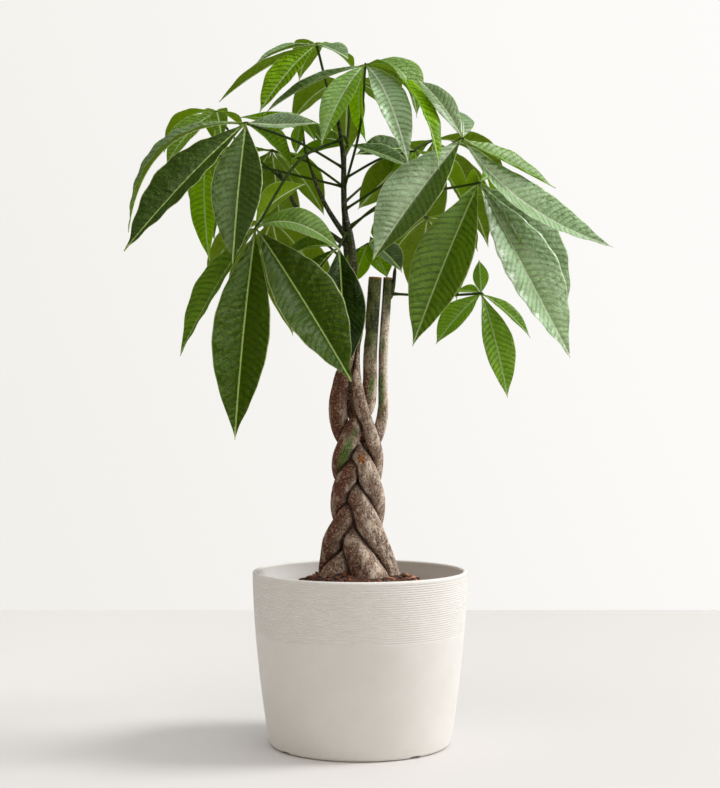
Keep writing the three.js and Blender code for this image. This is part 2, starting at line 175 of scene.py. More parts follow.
def add_piece(name, skins, material, slot, *replaced):
    """Makes one piece of closed skins, each one or more grids of corners and their marks.

    Corners are copies by rows by columns by 3. Each is joined to the next of its row, and the
    last of a row to its first. A face looks out where turning from the row's direction to the
    next row's is counter-clockwise. Rows that are drawn together to a point are welded. Marks
    are attributes, as one number for each corner or one for all.
    """
    corners = [points.reshape(-1, 3) for points, _ in skins]
    faces = []
    start = 0
    for points, _ in skins:
        rows, columns = points.shape[-3:-1]
        grids = start + np.arange(points.size // 3).reshape(-1, rows, columns)
        rings = np.concatenate([grids, grids[:, :, :1]], axis=2)
        near, far = rings[:, :-1], rings[:, 1:]
        quads = [near[..., :-1], near[..., 1:], far[..., 1:], far[..., :-1]]
        faces.append(np.stack(quads, axis=-1).reshape(-1, 4))
        start += points.size // 3
    mesh = bpy.data.meshes.new(name)
    mesh.from_pydata(np.concatenate(corners).tolist(), [], np.concatenate(faces).tolist())
    for mark in sorted({mark for _, marks in skins for mark in marks}):
        numbers = [np.broadcast_to(marks.get(mark, 0.0), points.shape[:-1]).ravel()
                   for points, marks in skins]
        attribute = mesh.attributes.new(mark, "FLOAT", "POINT")
        attribute.data.foreach_set("value", np.concatenate(numbers).astype(np.float32))
    welded = bmesh.new()
    welded.from_mesh(mesh)
    bmesh.ops.remove_doubles(welded, verts=welded.verts, dist=WELD_DISTANCE)
    welded.to_mesh(mesh)
    welded.free()
    mesh.shade_smooth()
    mesh.materials.append(material)
    piece = add_object(name, mesh)
    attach(piece, "root")
    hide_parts(*replaced)


def pot_wall_radius(height):
    """Outer radius of the wall, which widens fast above the foot and slowly towards the rim."""
    widening = 1 - (1 - height / POT_HEIGHT) ** POT_FLARE
    return POT_FOOT_RADIUS + (POT_RIM_RADIUS - POT_FOOT_RADIUS) * widening


def turned(profile, angles):
    """A profile of (radius, height) turned about the upright axis, from the front by the right."""
    radius, height = profile.T[:, :, None]
    flat = np.zeros_like(angles)
    return np.stack([radius * np.sin(angles), -radius * np.cos(angles), height + flat], axis=-1)


def pot_profile():
    """Radius and height from the middle of the foot, out and up, over the lip and down inside.

    The foot's edge is a quarter circle and the lip a half circle. In the groove band the wall
    is cut in by a cosine to the fourth power, so that the grooves are narrower than the ribs.
    Two rows close together under the foot make the inner ends of the notches steep.
    """
    foot = np.linspace(0, np.pi / 2, POT_EDGE_ROWS)
    edge = [POT_FOOT_RADIUS - POT_EDGE_ROUND * (1 - np.sin(foot)), POT_EDGE_ROUND * (1 - np.cos(foot))]
    reach = POT_FOOT_RADIUS - NOTCH_REACH
    under = np.array([*POT_UNDER_RADII, reach - NOTCH_BEVEL, reach + NOTCH_BEVEL])
    plain = np.linspace(POT_EDGE_ROUND, GROOVE_BOTTOM, POT_WALL_ROWS)[1:-1]
    grooved = np.linspace(GROOVE_BOTTOM, GROOVE_TOP, GROOVE_COUNT * GROOVE_ROWS + 1)
    turns = (grooved - GROOVE_BOTTOM) / (GROOVE_TOP - GROOVE_BOTTOM) * GROOVE_COUNT
    cut = GROOVE_DEPTH * np.cos(np.pi * (turns - 0.5)) ** 4
    lip = np.linspace(0, np.pi, POT_LIP_ROWS)
    lip_height = POT_HEIGHT - POT_WALL / 2
    over = [POT_RIM_RADIUS - POT_WALL / 2 * (1 - np.cos(lip)), lip_height + POT_WALL / 2 * np.sin(lip)]
    down = np.linspace(lip_height, POT_FLOOR, POT_INSIDE_ROWS + 1)[1:]
    floor = np.array([POT_FLOOR_RADII, [POT_FLOOR] * len(POT_FLOOR_RADII)])
    return np.hstack([
        [under, 0 * under],
        edge,
        [pot_wall_radius(plain), plain],
        [pot_wall_radius(grooved) - cut, grooved],
        over,
        [pot_wall_radius(down) - POT_WALL, down],
        floor,
    ]).T


def pot_skin():
    """The turned profile, with the foot lifted over each notch to the notch's height.

    Each notch has two columns close together at each side. The inside, wall and floor, is marked for
    painted light: its colour is painted lighter there.
    """
    centres = np.radians(FIRST_NOTCH_DEGREES + 90 * np.arange(4))
    half = NOTCH_WIDTH / 2 / POT_FOOT_RADIUS
    even = np.linspace(0, 2 * np.pi, POT_COLUMNS, endpoint=False)
    edges = (centres[:, None] + half * np.array([-NOTCH_SIDE, -1, 1, NOTCH_SIDE])).ravel()
    angles = np.sort(np.concatenate([even, edges]))
    points = turned(pot_profile(), angles)
    aside = np.abs(angles[:, None] - centres).min(axis=1)
    radius = np.hypot(points[..., 0], points[..., 1])
    lifted = (aside < half * (1 + NOTCH_SIDE) / 2) & (radius > POT_FOOT_RADIUS - NOTCH_REACH)
    height = points[..., 2]
    points[..., 2] = np.where(lifted & (height < NOTCH_HEIGHT), NOTCH_HEIGHT, height)
    inside = np.zeros(points.shape[:-1])
    inside[-POT_INSIDE_ROWS - len(POT_FLOOR_RADII):] = 1
    return points, {"inside": inside}


pot_material = bpy.data.materials.new("pot_plastic")
nodes = Nodes(pot_material)
mottle = nodes.noise(22 * MM)
speckle = nodes.noise(0.9 * MM, detail=2.0)
streak = nodes.noise(14 * MM, stretch=(1, 1, 0.12))
shade = nodes.blend(mottle.rise(0.3, 0.7), screen(231, 228, 223), screen(228, 225, 219))
shade = nodes.blend(streak.rise(0.55, 0.8) * 0.12, shade, screen(217, 211, 199))
shade = nodes.blend(speckle.rise(0.62, 0.8) * 0.12, shade, screen(205, 198, 184))
# Painted light: the inside of the pot is painted lighter, standing in for light that the leaves keep
# off it
shade = nodes.blend(nodes.mark("inside"), shade, screen(250, 248, 244))
pot_surface = nodes.add("ShaderNodeBsdfPrincipled", None, {
    "Base Color": shade,
    "Roughness": 0.44 + 0.05 * mottle + 0.05 * speckle,
    "Specular IOR Level": 0.2,
    "Normal": nodes.bump(speckle, 0.02 * MM),
})
nodes.show(pot_surface)
add_piece("pot_shell", [pot_skin()], pot_material, "pot", "pot")

# Trunks
# Five young trunks braided while they were soft, until they grew tight against each other. Their
# bark is grey-brown and fissured near the soil, and smoother and redder above, with pale flecks.
# Three are cut off at the top, and the other two carry on as green shoots.

# Points up each trunk and side shoot, as [x, height, depth, radius] in millimetres. A side shoot
# starts inside the trunk that it grows from.
STEM_ROWS = {
  "right": [
    [11, 126, -12, 17], [10.5, 152, -16, 18], [5, 168, -16, 15.5], [-2, 184, -13, 13.5],
    [-8, 199, -5, 12], [-14, 211, 1, 11], [-17.5, 224, 1, 10.5], [-17, 236, -5, 10.2],
    [-14, 247, -10, 10], [-7, 259, -9, 9.8], [2, 271, 1, 9], [12, 284, 5, 7.5],
    [19, 299, 4, 5.8], [22, 318, 4, 5], [21.5, 342, 4, 4.7], [22.5, 380, 4, 4.6],
    [25, 420, 3, 4.6], [26, 441, 3, 4.6],
  ],
  "thick": [
    [25, 126, 3, 13], [25, 152, 0, 13.2], [21, 170, -4, 13], [15, 187, -9, 12.9],
    [8, 205, -12, 12.6], [1.5, 222, -12, 11.8], [-4, 236, -7, 10.8], [-12, 247, 1, 10],
    [-16.5, 258, 0, 9.8], [-16.5, 270, -6, 9.6], [-12, 283, -11, 9.4], [-6, 296, -12, 9.2],
    [1, 309, -6, 8.6], [7, 322, -1, 7.6], [9.5, 340, 0, 6.9], [9.8, 368, 0, 6.6],
    [11.8, 401, 0, 6.5], [14.7, 441, 0, 6.5],
  ],
  "main": [
    [-27, 126, -2, 14], [-25, 154, -4, 14], [-20, 167, -3, 12.5], [-11, 180, 2, 12],
    [0, 193, 6, 11.4], [10, 206, 6, 11], [13, 220, 1, 10.8], [12.5, 234, -5, 10.8],
    [9, 247, -10, 10.6], [4.5, 260, -11, 10.2], [-1.5, 271, -8, 9.6], [-10, 283, 1, 9.2],
    [-17, 295, 1, 9], [-20.5, 309, -3, 8.8], [-20.5, 325, -6, 8.4], [-16.8, 345, -8, 7.9],
    [-11, 366, -8, 6.2], [-7.6, 391, -8, 5], [-7.6, 425, -8, 4.4], [-7, 458, -7, 4.1],
    [-10, 481, -6, 3.8], [-14, 499, -5, 3.1], [-15.7, 524, -4, 2.4], [-16, 550, -3, 2.1],
    [-19, 580, -2, 1.9], [-21, 590, -2, 1.8],
  ],
  "brown": [
    [-30, 130, 12, 10.5], [-30, 154, 9, 10.5], [-28, 172, 4, 10.5], [-25, 190, -3, 10.4],
    [-17, 206, -9, 10.3], [-9, 219, -8, 10], [1, 231, 4, 9.4], [9, 243, 8, 9],
    [13, 257, 6, 8.2], [15, 271, -1, 7.2], [12.5, 285, -9, 6.8], [8, 298, -15, 6.6],
    [2, 316, -16, 6.3], [-2, 333, -12, 5.8], [-4, 348, -8, 4.8], [-4, 364, -4, 3.8],
    [-2.5, 378, -2, 3.3], [1, 389, -1, 3.2],
  ],
  "back": [
    [12, 130, 16, 10], [13, 154, 16, 10], [9, 172, 17, 10], [-2, 190, 18, 9.8],
    [-13, 207, 14, 9.6], [-17, 224, 12, 9.4], [-10, 241, 16, 9.2], [2, 256, 18, 8.8],
    [9, 271, 14, 8.8], [7, 288, 12, 8.6], [-1, 305, 12, 8.3], [-8, 322, 9, 7.8],
    [-10, 345, 6, 6], [-8, 372, 6, 4.6], [-9, 410, 8, 4.1], [-11, 450, 13, 3.8],
    [-14, 485, 18, 3], [-15, 515, 20, 2.4], [-15, 545, 22, 2], [-15, 560, 23, 1.8],
  ],
  "second": [
    [-10, 474, -6, 2.8], [-18, 486, -6, 2.7], [-26, 498, -7, 2.4], [-33, 510, -8, 2.1],
    [-39, 523, -9, 1.9], [-44, 537, -10, 1.7],
  ],
  "third": [
    [-9, 468, -7, 2.8], [-25, 480, -3, 2.6], [-45, 494, 4, 2.3], [-60, 508, 9, 2.1],
    [-69, 526, 11, 1.9], [-76, 540, 12, 1.8],
  ],
  "side": [
    [23.3, 418, 3, 2.2], [29, 423, 3, 2.1], [31.5, 432, 3, 1.9], [33, 446, 3, 1.7],
  ],
}

ROW_SAMPLES = 16
RIGHTWARD = np.array([1.0, 0.0, 0.0])
LATTICE = np.random.default_rng(7).random((64, 64, 64))


def unit(vectors):
    """The vectors at length 1."""
    return vectors / np.maximum(np.linalg.norm(vectors, axis=-1, keepdims=True), 1e-12)


def cloud(places, size, seed=0):
    """Smooth random numbers of 0 to 1, with clouds of that size.

    Each whole point of a lattice has a drawn number, and between them the numbers are blended
    along each axis by three times the share squared less twice its cube.
    """
    scaled = places / np.asarray(size) + np.array([17.3, 5.1, 9.7]) * seed
    base = np.floor(scaled).astype(int)
    share = scaled - base
    share = share * share * (3 - 2 * share)
    total = 0
    for corner in np.ndindex(2, 2, 2):
        drawn = LATTICE[tuple(np.moveaxis((base + corner) % len(LATTICE), -1, 0))]
        total = total + drawn * np.prod(np.where(corner, share, 1 - share), axis=-1)
    return total


def rise(values, low, high):
    """0 below low, 1 above high, and a smooth rise between them."""
    share = np.clip((values - low) / (high - low), 0, 1)
    return share * share * (3 - 2 * share)


class Stem:
    """A round stem along a smooth path through rows of (x, y, z, radius).

    Between two rows the path is a cubic, run through in a time that is the square root of their
    distance. Its speed at each row is that of the parabola through the row and its two
    neighbours. The radius changes evenly.
    """

    def __init__(self, rows):
        rows = np.asarray(rows, float)
        places = rows[:, :3]
        first = 2 * places[:1] - places[1:2]
        last = 2 * places[-1:] - places[-2:-1]
        padded = np.vstack([first, places, last])
        before, start, end, after = padded[:-3], padded[1:-2], padded[2:-1], padded[3:]
        spans = np.sqrt(np.linalg.norm(np.diff(padded, axis=0), axis=1))[:, None]
        prior, span, later = spans[:-2], spans[1:-1], spans[2:]
        leave = span * ((start - before) / prior - (end - before) / (prior + span)) + end - start
        arrive = span * ((after - end) / later - (after - start) / (span + later)) + end - start
        share = np.linspace(0, 1, ROW_SAMPLES, endpoint=False)[:, None]
        bend = 3 * (end - start) - 2 * leave - arrive
        twist = 2 * (start - end) + leave + arrive
        start, leave, bend, twist = (part[:, None] for part in (start, leave, bend, twist))
        path = start + leave * share + bend * share**2 + twist * share**3
        widths = rows[:-1, 3:] + np.diff(rows[:, 3])[:, None] * share.T
        self.points = np.vstack([path.reshape(-1, 3), places[-1:]])
        self.radii = np.append(widths.ravel(), rows[-1, 3])
        steps = np.linalg.norm(np.diff(self.points, axis=0), axis=1)
        self.distances = np.concatenate([[0], np.cumsum(steps)])

    def rings(self, step, columns, sideways=RIGHTWARD):
        """Even rings: distance, centre, radius, direction along the stem, angles and spokes."""
        length = self.distances[-1]
        distance = np.linspace(0, length, int(length / step) + 2)
        centre = np.stack([np.interp(distance, self.distances, axis) for axis in self.points.T], -1)
        radius = np.interp(distance, self.distances, self.radii)
        along = unit(np.gradient(centre, distance, axis=0))
        across = unit(sideways - along * (along @ sideways)[:, None])
        beyond = np.cross(along, across)
        angles = np.linspace(0, 2 * np.pi, columns, endpoint=False)[:, None]
        spokes = across[:, None] * np.cos(angles) + beyond[:, None] * np.sin(angles)
        return distance, centre, radius, along, angles, spokes

    def at_height(self, height, values=None):
        """The axis point, or other values of the samples, at a height of a stem that climbs."""
        values = self.points if values is None else values
        return np.stack([np.interp(height, self.points[:, 2], column) for column in values.T], -1)

    def gap(self, places):
        """How far places lie outside the stem.

        The axis point at the place's own height is slid along the stem, three times, to the
        point that is square to the place.
        """
        along = unit(np.gradient(self.points, self.distances, axis=0))
        height = places[..., 2]
        for _ in range(3):
            centre = self.at_height(height)
            slope = unit(self.at_height(height, along))
            height = centre[..., 2] + ((places - centre) * slope).sum(axis=-1) * slope[..., 2]
        apart = np.linalg.norm(places - self.at_height(height), axis=-1)
        return apart - self.at_height(height, self.radii[:, None])[..., 0]


stems = {
    name: Stem([[x * MM, depth * MM, height * MM, radius * MM] for x, height, depth, radius in rows])
    for name, rows in STEM_ROWS.items()
}


def bark_relief(local, height, radius):
    """Height of the bark in metres, with its fissures and its flecks as shares of 0 to 1.

    Slow clouds make the stem lumpy. Ridged clouds, 1 less twice their distance from a half, cut
    long fissures; flat clouds wrinkle the bark across; and the tops of fine clouds stand out as
    flecks. All of it fades upwards, where the stem is younger.
    """
    age = np.clip(np.interp(height, [150 * MM, 300 * MM, 420 * MM], [1, 0.55, 0.25]), 0, 1)
    lumps = cloud(local, [8 * MM, 8 * MM, 19 * MM], 1) + 0.5 * cloud(local, [4 * MM, 4 * MM, 9 * MM], 2)
    ridged = 1 - np.abs(2 * cloud(local, [1.5 * MM, 1.5 * MM, 6 * MM], 3) - 1)
    fissure = rise(ridged * (0.55 + 0.7 * cloud(local, 7 * MM, 4)), 0.72, 1.05)
    wrinkle = cloud(local, [7 * MM, 7 * MM, 1.5 * MM], 5)
    fleck = rise(cloud(local, [1.2 * MM, 1.2 * MM, 0.9 * MM], 6), 0.76, 0.88)
    scale = np.minimum(1, radius / (9 * MM))
    relief = scale * age * MM * (1.3 * (lumps - 0.75) - 0.5 * fissure + 0.25 * (wrinkle - 0.5))
    return relief + 0.25 * MM * scale * fleck * (0.4 + 0.6 * age), fissure * age, fleck


BARK_STEP = 1.05 * MM
# Depth and width of the groove along each crease, and width of the painted shade beside it
CREASE_DEPTH = 1.4 * MM
CREASE_WIDTH = 2 * MM
CREASE_SHADE = 1.15 * MM
FRAYED_LENGTH = 1.6 * MM
YOUNG_FROM = 430 * MM
YOUNG_FULL = 490 * MM

# How far the green's border spreads and drifts in height, in millimetres, and how much the red share
# drifts and falls from left to right; that fall is painted shade on the left and painted light on the
# right, where the lamp is
GREEN_SPREAD = 22
GREEN_DRIFT = 56
RED_DRIFT = 0.49
PAINTED_SIDE_LIGHT = 0.55

# Ends of a stem, as shares of its last ring and how far each is raised, in millimetres
CUT_END = ([1, 0.985, 0.93, 0.84, 0.8, 0.45, 0], [0, 0.3, 0.55, 0.45, -0.35, -0.2, -0.3])
BUD_END = ([0.97, 0.86, 0.66, 0.42, 0.2, 0], [0.8, 2.2, 4, 5.6, 6.6, 7])


def scar_share(points, scars):
    """Where scars are on the front, as shares of 0 to 1.

    Each is [x, height, slant, half width, half length] in millimetres: a bell curve to the
    fourth power across and up, whose middle line moves by the slant for each unit of height.
    Clouds make its edge ragged, and it fades out round the sides.
    """
    share = np.zeros(points.shape[:-1])
    ragged = 0.7 * (cloud(points, 1.8 * MM, 31) - 0.5)
    for x, height, slant, half_width, half_length in scars:
        up = points[..., 2] / MM - height
        across = (points[..., 0] / MM - x - slant * up) / half_width
        share = np.maximum(share, np.exp(-(np.hypot(across, up / half_length) + ragged) ** 4))
    return share * rise(-points[..., 1], -6 * MM, 0)


def stem_skin(stem, columns, end, green_from, ruddy, others=(), scrapes=(), knots=()):
    """A tube of bark along a stem, closed at the foot and with its own kind of end.

    The rings' radius is the stem's plus the bark's relief, less a groove along each crease where it
    meets another stem: a bell curve of the gap between the two. Near each crease the bark is also
    marked for painted shade. The bark turns green round one height. The red-brown share at heights in
    millimetres is partly the bark's own colour and partly painted shade, and it falls towards the
    right, as painted shade on the left and painted light on the right, where the lamp is: below 0 it is
    painted paler than grey-brown. Scrapes show the green under the bark, and knots are orange. Clouds
    make all borders uneven.
    """
    distance, centre, radius, along, angles, spokes = stem.rings(BARK_STEP, columns)
    local = np.concatenate([
        radius[:, None, None] * np.hstack([np.cos(angles), np.sin(angles)]),
        np.broadcast_to(distance[:, None, None], (len(distance), columns, 1)),
    ], axis=-1) + stem.points[0]
    relief, fissure, fleck = bark_relief(local, centre[:, 2:], radius[:, None])
    surface = centre[:, None] + radius[:, None, None] * spokes
    gap = np.full(surface.shape[:-1], 1.0)
    for other in others:
        gap = np.minimum(gap, np.maximum(other.gap(surface), 0))
    reach = radius[:, None] + relief - CREASE_DEPTH * np.exp(-(gap / CREASE_WIDTH)**2)
    points = centre[:, None] + reach[..., None] * spokes
    shares, lifts = (np.array(values) for values in end)
    tip = centre[-1] + (points[-1] - centre[-1]) * shares[:, None, None]
    tip = tip + along[-1] * (lifts * MM)[:, None, None]
    foot = centre[:1, None] + 0 * points[:1]
    points = np.concatenate([foot, points, tip])
    from_end = np.concatenate([distance[-1:], distance[-1] - distance, 0 * shares])
    frayed = rise(-from_end, -FRAYED_LENGTH, -FRAYED_LENGTH / 4) if end is CUT_END else 0 * from_end

    def stretched(values):
        values = np.broadcast_to(values, (len(distance), columns))
        return np.concatenate([values[:1], values, np.repeat(values[-1:], len(shares), axis=0)])

    height = centre[:, 2:] / MM
    patchy = cloud(local, [9 * MM, 9 * MM, 24 * MM], 8) - 0.5
    green = rise(height + GREEN_DRIFT * patchy - green_from, -GREEN_SPREAD, GREEN_SPREAD)
    red_and_side_shade = np.interp(height, *np.transpose(ruddy)) + RED_DRIFT * patchy - PAINTED_SIDE_LIGHT * spokes[..., 0]
    marks = {
        "fissure": stretched(fissure),
        "fleck": stretched(fleck),
        "green": stretched(green),
        "ruddy": stretched(np.clip(red_and_side_shade, -1, 1)),
        "young": stretched(rise(centre[:, 2:], YOUNG_FROM, YOUNG_FULL)),
        "crease": stretched(np.exp(-(gap / CREASE_SHADE)**2)),
        "wood": np.broadcast_to(frayed[:, None], points.shape[:-1]),
        "scrape": scar_share(points, scrapes),
        "knot": scar_share(points, knots),
    }
    return points, marks


bark_material = bpy.data.materials.new("bark")
nodes = Nodes(bark_material)
patches = nodes.noise(9 * MM, detail=4.0, stretch=(1, 1, 0.5))
grain = nodes.noise(1.5 * MM, detail=4.0, stretch=(1, 1, 0.65))
specks = nodes.noise(1.5 * MM, detail=2.0)
green = nodes.mark("green")
ruddy = nodes.mark("ruddy")
red_and_shade_share = ruddy.rise(0, 1)
# Red-brown against grey-brown: partly the bark's own colour, partly painted shade on the left sides,
# away from the lamp
shade = nodes.blend(red_and_shade_share, screen(154, 130, 112), screen(98, 60, 45))
shade = nodes.blend(patches.rise(0.5, 0.6) * (0.9 - 0.5 * ruddy), shade, screen(216, 196, 176))
# Painted light: where the red share falls below 0, the lit right sides are painted pale
shade = nodes.blend(ruddy.rise(-0.2, -0.8) * 0.9, shade, screen(236, 220, 200))
shade = nodes.blend(grain.rise(0.48, 0.36) * 0.8, shade, screen(44, 26, 17))
stem_green = nodes.blend(patches.rise(0.4, 0.62), screen(44, 52, 20), screen(96, 104, 56))
stem_green = nodes.blend(grain.rise(0.46, 0.34) * 0.5, stem_green, screen(24, 30, 6))
stem_green = nodes.blend(nodes.mark("young") * 0.85, stem_green, screen(16, 26, 2))
shade = nodes.blend(green, shade, stem_green)
pale = nodes.mark("fleck") * 0.45 + specks.rise(0.55, 0.7) * 0.7
pale_shade = nodes.blend(red_and_shade_share, screen(250, 236, 218), screen(212, 166, 136))
shade = nodes.blend(pale * (1 - 0.7 * green), shade, pale_shade)
bared = nodes.blend(grain.rise(0.4, 0.6), screen(58, 92, 28), screen(100, 130, 60))
shade = nodes.blend(nodes.mark("scrape") * 0.88, shade, bared)
orange = nodes.blend(grain.rise(0.35, 0.6), screen(96, 52, 24), screen(190, 112, 46))
shade = nodes.blend(nodes.mark("knot") * 0.9, shade, orange)
shade = nodes.blend(nodes.mark("fissure") * 0.75, shade, screen(58, 40, 31))
# Painted shade: the bark is painted dark along each crease where stems meet
shade = nodes.blend(nodes.mark("crease") * 0.75, shade, screen(34, 21, 14))
timber = nodes.blend(grain.rise(0.35, 0.7), screen(150, 96, 52), screen(196, 150, 98))
shade = nodes.blend(nodes.mark("wood"), shade, timber)
bark_surface = nodes.add("ShaderNodeBsdfPrincipled", None, {
    "Base Color": shade,
    "Roughness": 0.78 - 0.22 * green + 0.1 * grain,
    "Specular IOR Level": 0.25,
    "Normal": nodes.bump(grain * 1.2 + specks * 0.5, 0.35 * MM),
})
nodes.show(bark_surface)

# Bark of each trunk: columns, end, height where it turns green, and red-brown shares at heights, which
# are partly painted shade and, below 0, painted light
BARK = {
  "thick": [76, CUT_END, 366, [
    (200, 0.15), (240, 0.3), (262, 0.85), (285, 0.6), (330, 0.5), (345, 0.35)]],
  "right": [76, CUT_END, 410, [
    (160, 0.5), (190, 0.35), (215, 0.8), (250, 0.75), (300, -0.1), (380, -0.3)]],
  "main": [66, BUD_END, 445, [(190, 0.25), (255, 0), (290, 1), (360, 0.9), (400, 0.5)]],
  "brown": [62, CUT_END, 470, [(180, 0.6), (230, 0.5), (290, 0.35), (345, 0.5), (380, 0.9)]],
  "back": [62, BUD_END, 430, [(200, 0.3), (320, 0.5), (420, 0.3)]],
}
SCRAPES = {
  "thick": [[-13, 276, 0.35, 5.2, 17], [-5, 294, 0.3, 2, 5], [11, 338, 0.1, 2.6, 11]],
  "right": [[20, 331, 0, 3.2, 19], [22, 378, 0, 1.6, 8]],
}
KNOTS = {"main": [[1.5, 270, 0, 3.4, 4.2]]}

# Columns of the side shoots of a trunk. The height where they turn green lies below them all.
SIDE_SHOOTS = {"right": {"side": 20}, "main": {"second": 24, "third": 24}}
ALL_GREEN = 300

for trunk, (columns, end, green_from, ruddy) in BARK.items():
    others = [stems[other] for other in BARK if other != trunk]
    scrapes, knots = SCRAPES.get(trunk, ()), KNOTS.get(trunk, ())
    skins = [stem_skin(stems[trunk], columns, end, green_from, ruddy, others, scrapes, knots)]
    for shoot, columns in SIDE_SHOOTS.get(trunk, {}).items():
        skins.append(stem_skin(stems[shoot], columns, BUD_END, ALL_GREEN, [(0, 0)]))
    add_piece("bark_" + trunk, skins, bark_material, "bark", "trunk_" + trunk)

# Soil
# Dark potting soil, filled in round the trunks and heaped towards them, with coarse chips of
# orange-brown pine bark loose on top.
SOIL_CROWN = 163 * MM
SOIL_FALL = 29 * MM
SOIL_WALL_GAP = 0.6 * MM
SOIL_LUMP = 1.6 * MM
SOIL_COLUMNS = 168
SOIL_WALL_ROWS = 10
SOIL_TOP_ROWS = 62
CHIP_COUNT = 950
CHIP_ROWS = 6
CHIP_SIDES = 9
CHIP_TILT = 0.38
CHIP_SMALLEST = [1.2, 0.9, 0.5]
CHIP_LARGEST = [4.4, 2.6, 1.3]


def soil_height(x, y):
    """Height of the heap: it falls from the crown by the square of the share of its radius."""
    share = np.hypot(x, y) / SOIL_EDGE
    places = np.stack([x, y, 0 * x], axis=-1)
    lumps = cloud(places, 8 * MM, 11) + 0.5 * cloud(places, 3.4 * MM, 12) - 0.75
    return SOIL_CROWN - SOIL_FALL * share**2 + 2 * SOIL_LUMP * lumps * rise(1.02 - share, 0, 0.1)


SOIL_EDGE = pot_wall_radius(SOIL_CROWN - SOIL_FALL) - POT_WALL - SOIL_WALL_GAP


def soil_skin():
    """The soil as a closed body: flat below, against the pot's wall, and heaped above."""
    wall = np.linspace(POT_FLOOR + SOIL_WALL_GAP, SOIL_CROWN - SOIL_FALL, SOIL_WALL_ROWS)
    below = [[0, 50 * MM], [POT_FLOOR + SOIL_WALL_GAP] * 2]
    side = [pot_wall_radius(wall) - POT_WALL - SOIL_WALL_GAP, wall]
    heap = np.linspace(1, 0, SOIL_TOP_ROWS)[1:] * SOIL_EDGE
    profile = np.hstack([below, side, [heap, 0 * heap]]).T
    points = turned(profile, np.linspace(0, 2 * np.pi, SOIL_COLUMNS, endpoint=False))
    top = points[-len(heap):]
    top[..., 2] = soil_height(top[..., 0], top[..., 1])
    return points


def chip_skins():
    """Loose chips: small near-boxes with bent faces, turned and laid on the heap by seeded draws.

    A near-box takes the sine and cosine of two angles to the power 0.6, with their signs kept.
    It is stretched to half the chip's length, width and thickness, made uneven round its sides, tilted
    and turned. Chips inside a trunk are left out, and those at the left are painted darker, as painted
    shade on the side away from the lamp.
    """
    draw = np.random.default_rng(23)
    rows = np.linspace(-np.pi / 2, np.pi / 2, CHIP_ROWS)[:, None]
    columns = np.linspace(0, 2 * np.pi, CHIP_SIDES, endpoint=False)

    def squared(values):
        return np.sign(values) * np.abs(values) ** 0.6

    shape = np.stack([
        squared(np.cos(rows)) * squared(np.cos(columns)),
        squared(np.cos(rows)) * squared(np.sin(columns)),
        squared(np.sin(rows)) + 0 * columns,
    ], axis=-1)
    size = draw.uniform(CHIP_SMALLEST, CHIP_LARGEST, (CHIP_COUNT, 3)) * MM
    size *= draw.uniform(0.55, 1.15, (CHIP_COUNT, 1))
    chips = shape * size[:, None, None]
    chips[..., :2] *= 0.7 + 0.6 * draw.random((CHIP_COUNT, 1, CHIP_SIDES, 1))
    tilt = draw.normal(0, CHIP_TILT, CHIP_COUNT)
    turn = draw.uniform(0, 2 * np.pi, CHIP_COUNT)
    flat = 0 * tilt
    lean = np.stack([np.cos(tilt), flat, -np.sin(tilt), flat, flat + 1, flat,
                     np.sin(tilt), flat, np.cos(tilt)], axis=-1).reshape(-1, 3, 3)
    spin = np.stack([np.cos(turn), -np.sin(turn), flat, np.sin(turn), np.cos(turn), flat,
                     flat, flat, flat + 1], axis=-1).reshape(-1, 3, 3)
    chips = np.einsum("nij,nrcj->nrci", spin @ lean, chips)
    radius = 0.95 * SOIL_EDGE * np.sqrt(draw.random(CHIP_COUNT))
    angle = draw.uniform(0, 2 * np.pi, CHIP_COUNT)
    x, y = radius * np.sin(angle), -radius * np.cos(angle)
    z = soil_height(x, y) + 0.5 * size[:, 2]
    chips += np.stack([x, y, z], axis=-1)[:, None, None]
    clear = np.ones(CHIP_COUNT, bool)
    for stem in (stems[trunk] for trunk in BARK):
        apart = np.linalg.norm(np.stack([x, y, z], axis=-1)[:, None] - stem.points, axis=-1)
        clear &= (apart - stem.radii).min(axis=1) > size[:, 0] * 0.6
    # Painted shade: chips are darker towards the left, away from the lamp
    tone = draw.random(CHIP_COUNT) * (0.4 + 0.6 * rise(x, -25 * MM, 60 * MM))
    tone = np.broadcast_to(tone[:, None, None], chips.shape[:-1])
    return chips[clear], {"chip": 1.0, "tone": tone[clear]}


soil_material = bpy.data.materials.new("soil_and_chips")
nodes = Nodes(soil_material)
crumbs = nodes.noise(2.4 * MM, detail=6.0)
damp = nodes.noise(16 * MM, detail=2.0)
earth = nodes.blend(crumbs.rise(0.32, 0.66), screen(38, 25, 18), screen(92, 62, 44))
earth = nodes.blend(damp.rise(0.35, 0.6) * 0.5, earth, screen(30, 20, 15))
tone = nodes.mark("tone")
# The tone holds the chips' own colour and the painted shade at the left
chip_shade = nodes.blend(tone.rise(0.05, 0.5), screen(58, 32, 21), screen(156, 90, 58))
chip_shade = nodes.blend(tone.rise(0.6, 1.0), chip_shade, screen(230, 184, 154))
chip_shade = nodes.blend(crumbs.rise(0.42, 0.7) * 0.55, chip_shade, screen(58, 34, 24))
soil_surface = nodes.add("ShaderNodeBsdfPrincipled", None, {
    "Base Color": nodes.blend(nodes.mark("chip"), earth, chip_shade),
    "Roughness": 0.82 + 0.12 * crumbs,
    "Normal": nodes.bump(crumbs, 0.9 * MM),
})
nodes.show(soil_surface)
add_piece("soil_heap", [(soil_skin(), {}), chip_skins()], soil_material, "soil", "soil")
